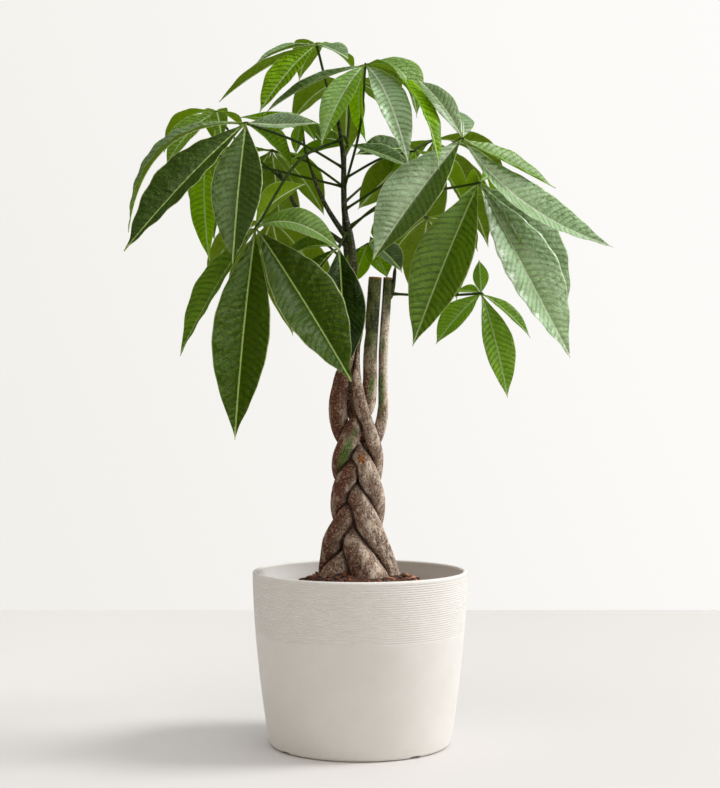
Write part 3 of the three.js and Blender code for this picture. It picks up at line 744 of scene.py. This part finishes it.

# Leaves
# Each leaf is a long green stalk that grows from a shoot, with three to seven leaflets fanned from its
# end. They droop and arch, fold a little along a pale midrib, and are quilted between their side veins,
# whose valleys are painted darker as painted shade. Older ones are dark, some pale with wax and a
# painted sheen; young ones are yellow-green, and so are leaflets lit through from behind, as painted
# light.

# Leaves as in the part's source, in millimetres: name, shoot, height on the shoot, bend of the stalk,
# hub, and leaflets of [x, z, depth, width, turn, bow, youth and backlight, left wax and sheen, right
# wax and sheen]. Places are as the camera sees them in the trunks' plane. Youth turns the green from
# dark to yellow-green: high, it is also painted light on leaflets lit through from behind, and low, it
# is painted shade on leaflets in shade. Wax and sheen make each half of the upper face pale, partly as
# wax and partly as a painted sheen on the half that faces the light.
LEAVES = [
  ["leaf_crown", "main", 586, [-31, 622, -4], [-41, 662, -6], [
    [-101, 643, -25, 18, -50, 0.08, 0.3, 0.5, 0.42],
    [-134, 608, 30, 24, -100, 0.05, 0.45, 0.1, 0.09],
    [-96, 597, -50, 31, -15, 0.06, 0.75, 0, 0],
    [-11, 649, -55, 22, 20, 0.03, 0.3, 0.6, 0.51],
    [-6, 638, 42, 24, 110, 0.08, 0.6, 0.1, 0.09],
    [-58, 628, 80, 28, 190, 0.14, 0.5, 0, 0],
  ]],
  ["leaf_upper_right", "main", 522, [0, 584, -14], [5, 643, -30], [
    [-37, 567, -70, 31, -10, 0.1, 1, 0.6, 0.2],
    [-92, 596, -10, 20, -60, 0.06, 0.3, 0.4, 0.34],
    [54, 593, -50, 36, 35, 0.3, 0.6, 0.35, 0.3],
    [46, 549, -104, 31, 15, 0.1, 0.4, 1, 0.85],
    [75, 544, -108, 28, 60, 0.14, 1, 0, 0],
    [6, 570, 4, 20, -30, 0.1, 1, 0, 0],
    [36, 596, 46, 30, 160, 0.16, 0.5, 0, 0],
  ]],
  ["leaf_left_small", "third", 536, [-118, 572, 20], [-136, 598, 22], [
    [-184, 547, 5, 29, -15, 0.11, 0.65, 0.1, 0.09],
    [-131, 572, -18, 17, 0, 0.1, 0.4, 0, 0],
    [-112, 583, 40, 20, 120, 0.1, 0.7, 0, 0],
    [-186, 560, 55, 26, -120, 0.2, 0.6, 0, 0],
    [-138, 568, 80, 26, 190, 0.2, 0.5, 0, 0],
  ]],
  ["leaf_left_large", "main", 545, [-57, 569, -34], [-108, 588, -62], [
    [-220, 484, -40, 30, -70, 0.22, 0.25, 0.35, 0.1],
    [-224, 466, -95, 50, -20, 0.03, 0.1, 0.03, 0.03],
    [-121, 454, -118, 46, -5, 0.04, 0.12, 0.05, 0.05],
    [-41, 588, -76, 25, 0, -0.03, 0.15, 0.6, 0.51],
    [-64, 541, -12, 38, 20, 0.06, 0.5, 0, 0],
  ]],
  ["leaf_left_behind", "main", 527, [-92, 546, 40], [-146, 560, 66], [
    [-143, 457, 40, 27, -20, 0.08, 0.95, 0, 0],
    [-198, 500, 80, 32, -80, 0.14, 0.6, 0, 0],
    [-138, 476, 130, 34, -150, 0.14, 0.5, 0, 0],
    [-108, 480, 135, 34, 150, 0.14, 0.5, 0, 0],
    [-92, 530, 96, 28, 100, 0.12, 0.5, 0, 0],
  ]],
  ["leaf_lower_left", "main", 572, [-57, 553, -46], [-99, 488, -78], [
    [-171, 367, -62, 40, -40, 0.03, 0.5, 0.05, 0.04],
    [-119, 287, -98, 51, -4, 0.04, 0.15, 0, 0],
    [-8, 342, -92, 58, 0, 0.03, 0.14, 0.03, 0],
    [-18, 466, -92, 28, 0, 0.24, 0.6, 0.3, 0.26],
    [-123, 450, -30, 26, -110, 0.08, 0.5, 0, 0],
    [-52, 530, -20, 30, 200, 0.1, 0.7, 0.1, 0.09],
  ]],
  ["leaf_centre_dark", "main", 470, [-12, 484, -22], [-20, 470, -36], [
    [-14, 352, -40, 42, 0, 0.14, 0, 0, 0],
    [-62, 400, -34, 30, -30, 0.12, 0.15, 0, 0],
    [-75, 452, 2, 26, -70, 0.14, 0.3, 0, 0],
  ]],
  ["leaf_right_high", "main", 505, [52, 548, -48], [97, 573, -78], [
    [55, 629, -62, 22, 10, 0.08, 0.3, 0.6, 0.51],
    [76, 603, -10, 26, 80, 0.12, 0.2, 0.5, 0.42],
    [12, 458, -100, 58, -10, 0.03, 0.22, 1, 0.06],
    [186, 526, -50, 29, 60, 0, 0.7, 0.3, 0.26],
    [241, 470, -104, 42, 5, -0.12, 0.4, 1, 0.85],
  ]],
  ["leaf_right_low", "main", 486, [22, 512, -22], [113, 531, -48], [
    [50, 376, -70, 52, 0, 0.04, 0.42, 0.08, 0.03],
    [200, 365, -72, 60, 13, 0, 0.4, 1, 0.85],
    [198, 407, 0, 47, 2, 0.1, 0.3, 0, 0.85],
    [96, 518, 10, 26, 100, 0.14, 0.8, 0, 0],
    [128, 500, 50, 30, 140, 0.2, 0.7, 0, 0],
  ]],
  ["leaf_right_fresh", "side", 426, [70, 424, -6], [115, 426, -14], [
    [113, 458, -20, 15, 0, 0.04, 0.8, 0.15, 0.15],
    [92, 428, 10, 14, 0, 0.06, 0.8, 0.15, 0.15],
    [72, 378, -24, 28, -15, 0.05, 0.9, 0.15, 0.15],
    [140, 327, -26, 31, 10, 0.05, 0.8, 0.15, 0.15],
    [162, 384, -10, 18, 30, 0.06, 0.8, 0.15, 0.15],
  ]],
  ["leaf_inner_right", "main", 534, [24, 556, 14], [52, 562, 26], [
    [-4, 558, 2, 30, 0, 0.06, 0.12, 0.1, 0.09],
    [-2, 506, 20, 34, 170, 0.05, 0.4, 0.2, 0.17],
    [100, 508, 52, 34, 120, 0.12, 0.6, 0.1, 0.09],
    [36, 526, 30, 26, 20, 0.1, 1, 0, 0],
  ]],
  ["leaf_inner_left", "main", 576, [-14, 574, 6], [-12, 567, 8], [
    [52, 544, -18, 20, 10, 0.05, 0.25, 0.4, 0.34],
    [-42, 573, -2, 16, -10, 0.1, 0.5, 0, 0],
    [-64, 554, 14, 18, -30, 0.08, 0.9, 0, 0],
    [-116, 593, 30, 17, -20, 0.1, 0.9, 0, 0],
  ]],
  ["leaf_inner_top", "second", 533, [-52, 562, -6], [-55, 590, -6], [
    [-61, 558, -14, 13, -10, 0.08, 0.9, 0, 0],
    [-43, 571, -24, 12, 10, 0.08, 0.75, 0, 0],
    [-34, 566, -14, 14, 20, 0.08, 0.3, 0, 0],
    [-86, 570, -10, 18, -80, 0.1, 0.6, 0, 0],
  ]],
  ["leaf_inner_low", "main", 462, [2, 470, 14], [8, 473, 12], [
    [26, 441, -8, 27, 5, 0.1, 0.95, 0, 0],
    [-4, 437, 14, 26, -10, 0.1, 0.9, 0, 0],
    [40, 446, -30, 26, 20, 0.08, 0.1, 0.2, 0.17],
    [34, 492, 34, 26, 110, 0.12, 0.6, 0, 0],
  ]],
  ["leaf_back_top", "back", 556, [-10, 596, 40], [-12, 626, 58], [
    [-66, 588, 122, 34, -150, 0.14, 0.4, 0.2, 0.17],
    [-14, 552, 152, 38, 180, 0.12, 0.4, 0.2, 0.17],
    [44, 582, 134, 36, 150, 0.14, 0.4, 0.2, 0.17],
    [30, 612, 84, 26, 110, 0.12, 0.5, 0.1, 0.09],
  ]],
  ["leaf_back_left", "back", 530, [-52, 552, 78], [-84, 562, 114], [
    [-156, 522, 144, 34, -130, 0.14, 0.3, 0.2, 0.17],
    [-132, 464, 186, 42, -160, 0.08, 0.25, 0.3, 0.26],
    [-72, 444, 200, 44, 180, 0.08, 0.3, 0.2, 0.17],
    [-34, 500, 172, 36, 160, 0.12, 0.4, 0.1, 0.09],
  ]],
  ["leaf_back_right", "back", 515, [32, 552, 72], [70, 572, 106], [
    [138, 540, 132, 34, 130, 0.14, 0.3, 0.2, 0.17],
    [122, 470, 178, 44, 150, 0.08, 0.25, 0.3, 0.26],
    [58, 448, 194, 44, 180, 0.08, 0.3, 0.2, 0.17],
    [8, 510, 168, 36, 200, 0.12, 0.4, 0.1, 0.09],
  ]],
  ["leaf_back_low_right", "back", 490, [28, 510, 58], [64, 498, 92], [
    [112, 466, 114, 36, 120, 0.14, 0.4, 0.1, 0.09],
    [92, 420, 156, 42, 150, 0.08, 0.3, 0.2, 0.17],
    [54, 414, 164, 42, 178, 0.08, 0.3, 0.2, 0.17],
    [22, 448, 134, 34, 200, 0.1, 0.4, 0.1, 0.09],
  ]],
  ["leaf_back_low_left", "back", 455, [-42, 480, 50], [-84, 496, 86], [
    [-146, 440, 104, 36, -120, 0.14, 0.4, 0.1, 0.09],
    [-112, 378, 128, 46, -160, 0.08, 0.3, 0.2, 0.17],
    [-64, 386, 140, 46, 180, 0.08, 0.3, 0.2, 0.17],
    [-26, 412, 118, 36, 160, 0.1, 0.4, 0.1, 0.09],
  ]],
]

EYE_DISTANCE = 1520 * MM
EYE_HEIGHT = 330 * MM
BLADE_LIFT_DEGREES = 40
BLADE_FOLD_DEGREES = 27
BLADE_MIDDLE = 0.45
BLADE_ROW = 1.15 * MM
BLADE_HALF_THICKNESS = 0.22 * MM
QUILT_HEIGHT = 2 * MM
QUILT_WIDTH = 45 * MM
WAVE_LENGTHS = (17 * MM, 27 * MM)
STALK_HALF = 0.85 * MM
RIB_HALF = 0.55 * MM
RIDGE_WIDTH = 0.7 * MM
RIDGE_HEIGHT = 0.55 * MM
GROOVE_IN_BLADE = 0.12 * MM
PETIOLE_RADIUS = 1.25 * MM
HUB_RADIUS = 2.1 * MM
FOOT_SWELLING = 0.75 * MM
PETIOLE_COLUMNS = 12
PETIOLE_STEP = 3 * MM
VEIN_SPACING = 7.4 * MM
VEIN_LENGTH = 200 * MM
VEIN_SLANT = 0.45
VEIN_CURVE = 0.3
ACROSS = np.array([1, 0.93, 0.78, 0.58, 0.38, 0.18])


def seen(x, z, depth):
    """The place in metres of a point seen at x, z in the trunks' plane and at that depth."""
    reach = (EYE_DISTANCE + depth * MM) / EYE_DISTANCE
    return np.array([x * MM * reach, depth * MM, EYE_HEIGHT + (z * MM - EYE_HEIGHT) * reach])


def face_direction(turn, along):
    """Where a blade's upper face looks: raised by the lift, turned from the front to the right,
    and made square to the midrib."""
    turn, lift = np.radians([turn, BLADE_LIFT_DEGREES])
    face = np.array([np.sin(turn) * np.cos(lift), -np.cos(turn) * np.cos(lift), np.sin(lift)])
    return unit(face - along * (along @ face)[..., None])


def drawn_together(start, points, end):
    """The rows of a skin, with a row more at either side whose corners are all in one point."""
    return np.concatenate([start + 0 * points[:1], points, end + 0 * points[:1]])


def blade_outline(share):
    """Share of the full half width: a sine hump, widest past the middle, with a drawn-out tip."""
    hump = np.sin(np.pi * share**1.12) ** 1.12
    return hump * (1 - 0.3 * rise(share, 0.86, 1))


def leaflet_skin(hub, tip, width, turn, bow, draw):
    """One leaflet as a closed thin skin round its cross-section, from the hub to the tip.

    The midrib is the parabola from hub to tip through a middle point that the bow pushes out.
    Across it each half rises at the fold's angle and levels out towards the edge. The edge
    waves by a sine along the midrib. Between side veins, which run forward as they run out,
    the blade is quilted by the size of a half sine, less near the edge, and slow and fine
    clouds make the quilting uneven. The midrib is a shallow groove above and a round ridge
    below.
    """
    chord = tip - hub
    length = np.linalg.norm(chord)
    middle = hub + BLADE_MIDDLE * chord + 2 * bow * length * face_direction(turn, chord / length)
    share = np.linspace(0, 1, max(26, int(length / BLADE_ROW)))[:, None]
    midrib = (1 - share)**2 * hub + 2 * share * (1 - share) * middle + share**2 * tip
    along = unit((1 - share) * (middle - hub) + share * (tip - middle))
    up = face_direction(turn, along)
    side = np.cross(up, along)
    steps = np.linalg.norm(np.diff(midrib, axis=0), axis=1)
    distance = np.concatenate([[0], np.cumsum(steps)])[:, None]

    half = np.maximum(width / 2 * blade_outline(share), STALK_HALF * (1 - 0.62 * share))
    rib = np.minimum(RIB_HALF, 0.3 * half)
    out = rib + (half - rib) * ACROSS
    row = np.hstack([out, rib, 0 * rib, -rib, -out[:, ::-1]])
    size = np.abs(row)
    reach = size / half
    left = row < 0

    fold = np.tan(np.radians(BLADE_FOLD_DEGREES))
    lift = size * fold * (1.25 - 0.4 * reach)
    wave_length = draw.uniform(*WAVE_LENGTHS, 2)[left.astype(int)]
    wave_start = draw.uniform(0, 2 * np.pi, 2)[left.astype(int)]
    wave = np.sin(2 * np.pi * distance / wave_length + wave_start)
    lift += wave * draw.uniform(0.008, 0.02) * width * reach**2.5 * rise(share, 0.08, 0.3)
    spacing = VEIN_SPACING * np.sqrt(length / VEIN_LENGTH)
    flat = midrib[:, None] + side[:, None] * row[..., None]
    drift = 1.5 * (cloud(flat, 26 * MM, 22) + left * cloud(flat, 34 * MM, 23))
    vein = (distance - VEIN_SLANT * size - VEIN_CURVE * size**2 / half) / spacing + drift + 0.5 * left
    quilt = (np.abs(np.sin(np.pi * vein)) - 0.5) * (0.3 + 1.4 * cloud(flat, 15 * MM, 21))
    quilt += 0.7 * (cloud(flat, 5 * MM, 24) - 0.5)
    quilt *= np.sqrt(reach) * (1 - 0.9 * reach**3) * np.sin(np.pi * share)**0.5
    lift += QUILT_HEIGHT * np.sqrt(width / QUILT_WIDTH) * quilt
    lean = draw.uniform(-0.1, 0.1) + draw.uniform(-0.16, 0.16) * (share - 0.3)
    lift += row * lean

    stalk = 1 - rise(share, 0.02, 0.09)
    groove = np.exp(-(size / RIDGE_WIDTH)**2)
    skin = BLADE_HALF_THICKNESS * (1 - 0.55 * reach**4) + (STALK_HALF - BLADE_HALF_THICKNESS) * (
        stalk * np.sqrt(np.maximum(0, 1 - (0.9 * reach)**2)))
    top = lift + skin - GROOVE_IN_BLADE * groove * (1 - stalk)
    ridge = RIDGE_HEIGHT * groove * (1 - 0.75 * share)
    bottom = lift - skin - ridge
    row, heights, size, vein, reach = (
        np.hstack([upper, lower[:, ::-1]])
        for upper, lower in ((row, row), (top, bottom), (size, size), (vein, vein), (reach, reach)))
    points = midrib[:, None] + side[:, None] * row[..., None] + up[:, None] * heights[..., None]
    points = drawn_together(points[0].mean(axis=0), points, points[-1].mean(axis=0))

    def stretched(values):
        values = np.broadcast_to(values, (len(share), heights.shape[1]))
        return np.concatenate([values[:1], values, values[-1:]])

    under = np.repeat([0.0, 1.0], heights.shape[1] // 2)
    marks = {
        "rib": stretched(size / MM),
        "vein": stretched(vein),
        "reach": stretched(reach),
        "under": stretched(under),
        "stalk": stretched(stalk),
        "left": stretched(rise(-row, -2 * MM, 2 * MM)),
    }
    return points, marks


def petiole_skin(foot, knee, hub):
    """A round stalk from the shoot through its bend to the hub, swollen at both ends."""
    end = hub + unit(hub - knee) * HUB_RADIUS
    stem = Stem([[*foot, PETIOLE_RADIUS], [*knee, PETIOLE_RADIUS], [*end, PETIOLE_RADIUS]])
    sideways = unit(np.cross(knee - foot, end - knee) + np.array([1e-6, 2e-6, 0]))
    distance, centre, radius, _, _, spokes = stem.rings(PETIOLE_STEP, PETIOLE_COLUMNS, sideways)
    from_end = distance[-1] - distance
    radius = radius + FOOT_SWELLING * np.exp(-(distance / (5 * MM))**2)
    radius += (HUB_RADIUS - PETIOLE_RADIUS) * np.exp(-(from_end / (4 * MM))**2)
    radius *= np.sqrt(np.clip(from_end / HUB_RADIUS + 0.12, 0, 1))
    points = centre[:, None] + radius[:, None, None] * spokes
    points = drawn_together(centre[0], points, centre[-1])
    return points, {"rib": 9.0, "vein": 0.5, "reach": 0.5, "stalk": 1.0, "youth": 0.4, "petiole": 1.0}


leaf_material = bpy.data.materials.new("leaf")
nodes = Nodes(leaf_material)
youth = nodes.mark("youth")
bloom = nodes.mark("bloom")
under = nodes.mark("under")
stalk = nodes.mark("stalk")
rib = nodes.mark("rib")
reach = nodes.mark("reach")
vein_turn = nodes.add("ShaderNodeMath", {"operation": "FRACT"}, {0: nodes.mark("vein")})
vein_line = abs(vein_turn - 0.5).rise(0.44, 0.49)
valley = abs(vein_turn - 0.5).rise(0.25, 0.46)
net = nodes.noise(1.6 * MM, detail=3.0)
mottle = nodes.noise(17 * MM, detail=3.0)
pucker = nodes.noise(5 * MM, detail=2.0)
uneven = nodes.noise(9 * MM, detail=3.0)
# Painted shade: the quilting's valleys and puckers are painted darker
crumple_shade = valley * (0.5 + 0.5 * uneven.rise(0.4, 0.6)) * 0.85
crumple_shade = crumple_shade + abs(pucker - 0.5).rise(0.05, 0.0) * uneven.rise(0.6, 0.45) * 0.45
# Youth: dark to yellow-green for young leaflets, and as painted light for those lit through from
# behind; low youth is also painted shade
upper = nodes.blend(youth, screen(20, 40, 0), screen(160, 212, 0))
upper = nodes.blend(mottle.rise(0.4, 0.7) * 0.4, upper, screen(62, 98, 0))
# Wax and painted sheen: leaflets, and the half of each that faces the light, are painted pale, partly
# as wax and partly as painted sheen
wax_and_sheen_clouds = nodes.noise(30 * MM, detail=3.0).rise(0.25, 0.75)
uneven_wax_and_sheen = bloom * (0.55 + 0.45 * wax_and_sheen_clouds)
upper = nodes.blend(uneven_wax_and_sheen, upper, screen(202, 236, 188))
fold_shade = nodes.blend(uneven_wax_and_sheen, screen(14, 30, 0), screen(70, 100, 48))
upper = nodes.blend(crumple_shade * (1 - 0.4 * uneven_wax_and_sheen), upper, fold_shade)
lower = nodes.blend(youth, screen(92, 118, 6), screen(146, 178, 0))
lower = nodes.blend(net.rise(0.4, 0.7) * 0.3, lower, screen(132, 152, 40))
blade = nodes.blend(under, upper, lower)
vein_shade = nodes.blend(uneven_wax_and_sheen, screen(112, 144, 34), screen(222, 238, 192))
blade = nodes.blend(vein_line * (0.75 - 0.35 * reach), blade, vein_shade)
rib_share = rib.rise(0.92, 0.55) * (1 - stalk)
rib_shade = nodes.blend(bloom + 0.5 * youth, screen(188, 218, 116), screen(250, 255, 236))
blade = nodes.blend(rib_share, blade, rib_shade)
# Painted highlight: a pale line along each leaflet's edge, where the edge catches the light
edge_highlight = nodes.blend(uneven_wax_and_sheen, screen(206, 226, 150), screen(244, 252, 224))
blade = nodes.blend(reach.rise(0.95, 0.99) * 0.8, blade, edge_highlight)
blade = nodes.blend(stalk, blade, screen(126, 152, 56))
petiole_green = nodes.blend(mottle, screen(16, 26, 0), screen(44, 60, 8))
blade = nodes.blend(nodes.mark("petiole"), blade, petiole_green)
leaf_surface = nodes.add("ShaderNodeBsdfPrincipled", None, {
    "Base Color": blade,
    "Roughness": 0.36 + 0.1 * bloom + 0.2 * under + 0.08 * net,
    "Specular IOR Level": 0.14,
    "Coat Weight": (0.1 + 0.9 * bloom) * (1 - under),
    "Coat Roughness": 0.3,
    "Normal": nodes.bump(net * 0.15 + pucker * 2.0 + uneven * 2.4 + vein_line * -0.25, 1.0 * MM),
})
glow = nodes.add("ShaderNodeBsdfTranslucent", None, {"Color": screen(190, 222, 0)})
nodes.show(nodes.add("ShaderNodeMixShader", None, {0: 0.03 + 0.45 * youth, 1: leaf_surface, 2: glow}))

for number, (name, shoot, height, bend, hub_seen, leaflets) in enumerate(LEAVES):
    draw = np.random.default_rng(100 + number)
    hub = seen(*hub_seen)
    skins = [petiole_skin(stems[shoot].at_height(height * MM), seen(*bend), hub)]
    for x, z, depth, width, turn, bow, youth_and_backlight_share, left_wax_and_sheen, right_wax_and_sheen in leaflets:
        points, marks = leaflet_skin(hub, seen(x, z, depth), width * MM, turn, bow, draw)
        # Each half of a leaflet takes its own share of wax and painted sheen
        bloom = right_wax_and_sheen + (left_wax_and_sheen - right_wax_and_sheen) * marks["left"]
        skins.append((points, {**marks, "youth": youth_and_backlight_share, "bloom": bloom}))
    add_piece(name.replace("leaf_", "foliage_"), skins, leaf_material, "leaf", name)

# View
# The plant stands on a pale table before a white wall, and the camera is level with the foot of
# its crown. A large soft lamp at the right lights it, with a weak one above and a pale room. A
# soft box in front, at the right, shows in glossy leaves only.
CAMERA_HEIGHT = 330.6 * MM
CAMERA_LENS = 73.1
FLOOR_HALF = 930 * MM
FLOOR_DROP = 0.2 * MM

# Lamps: name, degrees to the right of the front, degrees up, distance and width in metres, watts
LAMPS = [
  ["key", 94, 44, 4.6, 1.8, 170],
  ["top", -20, 74, 4, 3.2, 40],
]

camera_data = bpy.data.cameras.new("camera")
camera_data.lens = CAMERA_LENS
camera_data.sensor_width = 36
camera = add_object("camera", camera_data)
camera.location = (0, -EYE_DISTANCE, CAMERA_HEIGHT)
camera.rotation_euler = (np.pi / 2, 0, 0)
bpy.context.scene.camera = camera
bpy.context.scene.view_settings.view_transform = "Standard"

floor_mesh = bpy.data.meshes.new("floor")
corners = FLOOR_HALF * np.array([[-1, -1], [1, -1], [1, 1], [-1, 1]])
floor_mesh.from_pydata([(x, y, -FLOOR_DROP) for x, y in corners.tolist()], [], [(0, 1, 2, 3)])
floor_material = bpy.data.materials.new("floor")
nodes = Nodes(floor_material)
# Painted light: the floor is painted lighter towards the left
floor_place = nodes.add("ShaderNodeTexCoord", output="Object")
rightward = nodes.along(floor_place, 1, 0, 0)
nodes.show(nodes.add("ShaderNodeBsdfPrincipled", None, {
    "Base Color": nodes.blend(rightward.rise(-0.5, 0.3), screen(217, 214, 211), screen(206, 203, 200)),
    "Roughness": 0.7,
}))
floor_mesh.materials.append(floor_material)
floor = add_object("floor", floor_mesh)

for name, turn, elevation, away, size, power in LAMPS:
    turn, elevation = np.radians([turn, elevation])
    level = np.cos(elevation)
    towards = np.array([np.sin(turn) * level, -np.cos(turn) * level, np.sin(elevation)])
    lamp_data = bpy.data.lights.new(name, "AREA")
    lamp_data.shape = "DISK"
    lamp_data.size = size
    lamp_data.energy = power
    lamp = add_object(name, lamp_data)
    lamp.visible_glossy = name == "key"
    lamp.location = towards * away + np.array([0, 0, CAMERA_HEIGHT])
    lamp.rotation_euler = (np.pi / 2 - elevation, 0, turn)

world = bpy.data.worlds.new("studio")
bpy.context.scene.world = world
nodes = Nodes(world)
direction = nodes.add("ShaderNodeTexCoord", output="Generated")
from_behind = nodes.along(direction, 0.5, 0.68, 0.54).rise(-0.9, 0.9)
room = nodes.blend(from_behind, (0.235, 0.2, 0.15, 1), (0.92, 0.92, 0.93, 1))
from_right = nodes.along(direction, 1, 0, 0.4).rise(-0.35, 0.35)
wall = nodes.blend(from_right, screen(241, 239, 234), screen(253, 252, 250))
in_a_gloss = nodes.add("ShaderNodeLightPath", output="Is Glossy Ray")
soft_box = nodes.along(direction, 0.35, -0.85, 0.4).rise(0.82, 0.96)
lighting = nodes.add("ShaderNodeBackground", None, {
    "Color": room,
    "Strength": 1 - 0.9 * in_a_gloss + 11 * in_a_gloss * soft_box,
})
backdrop = nodes.add("ShaderNodeBackground", None, {"Color": wall, "Strength": 1.0})
seen_by_camera = nodes.add("ShaderNodeLightPath", output="Is Camera Ray")
nodes.show(nodes.add("ShaderNodeMixShader", None, {0: seen_by_camera, 1: lighting, 2: backdrop}),
           "ShaderNodeOutputWorld")
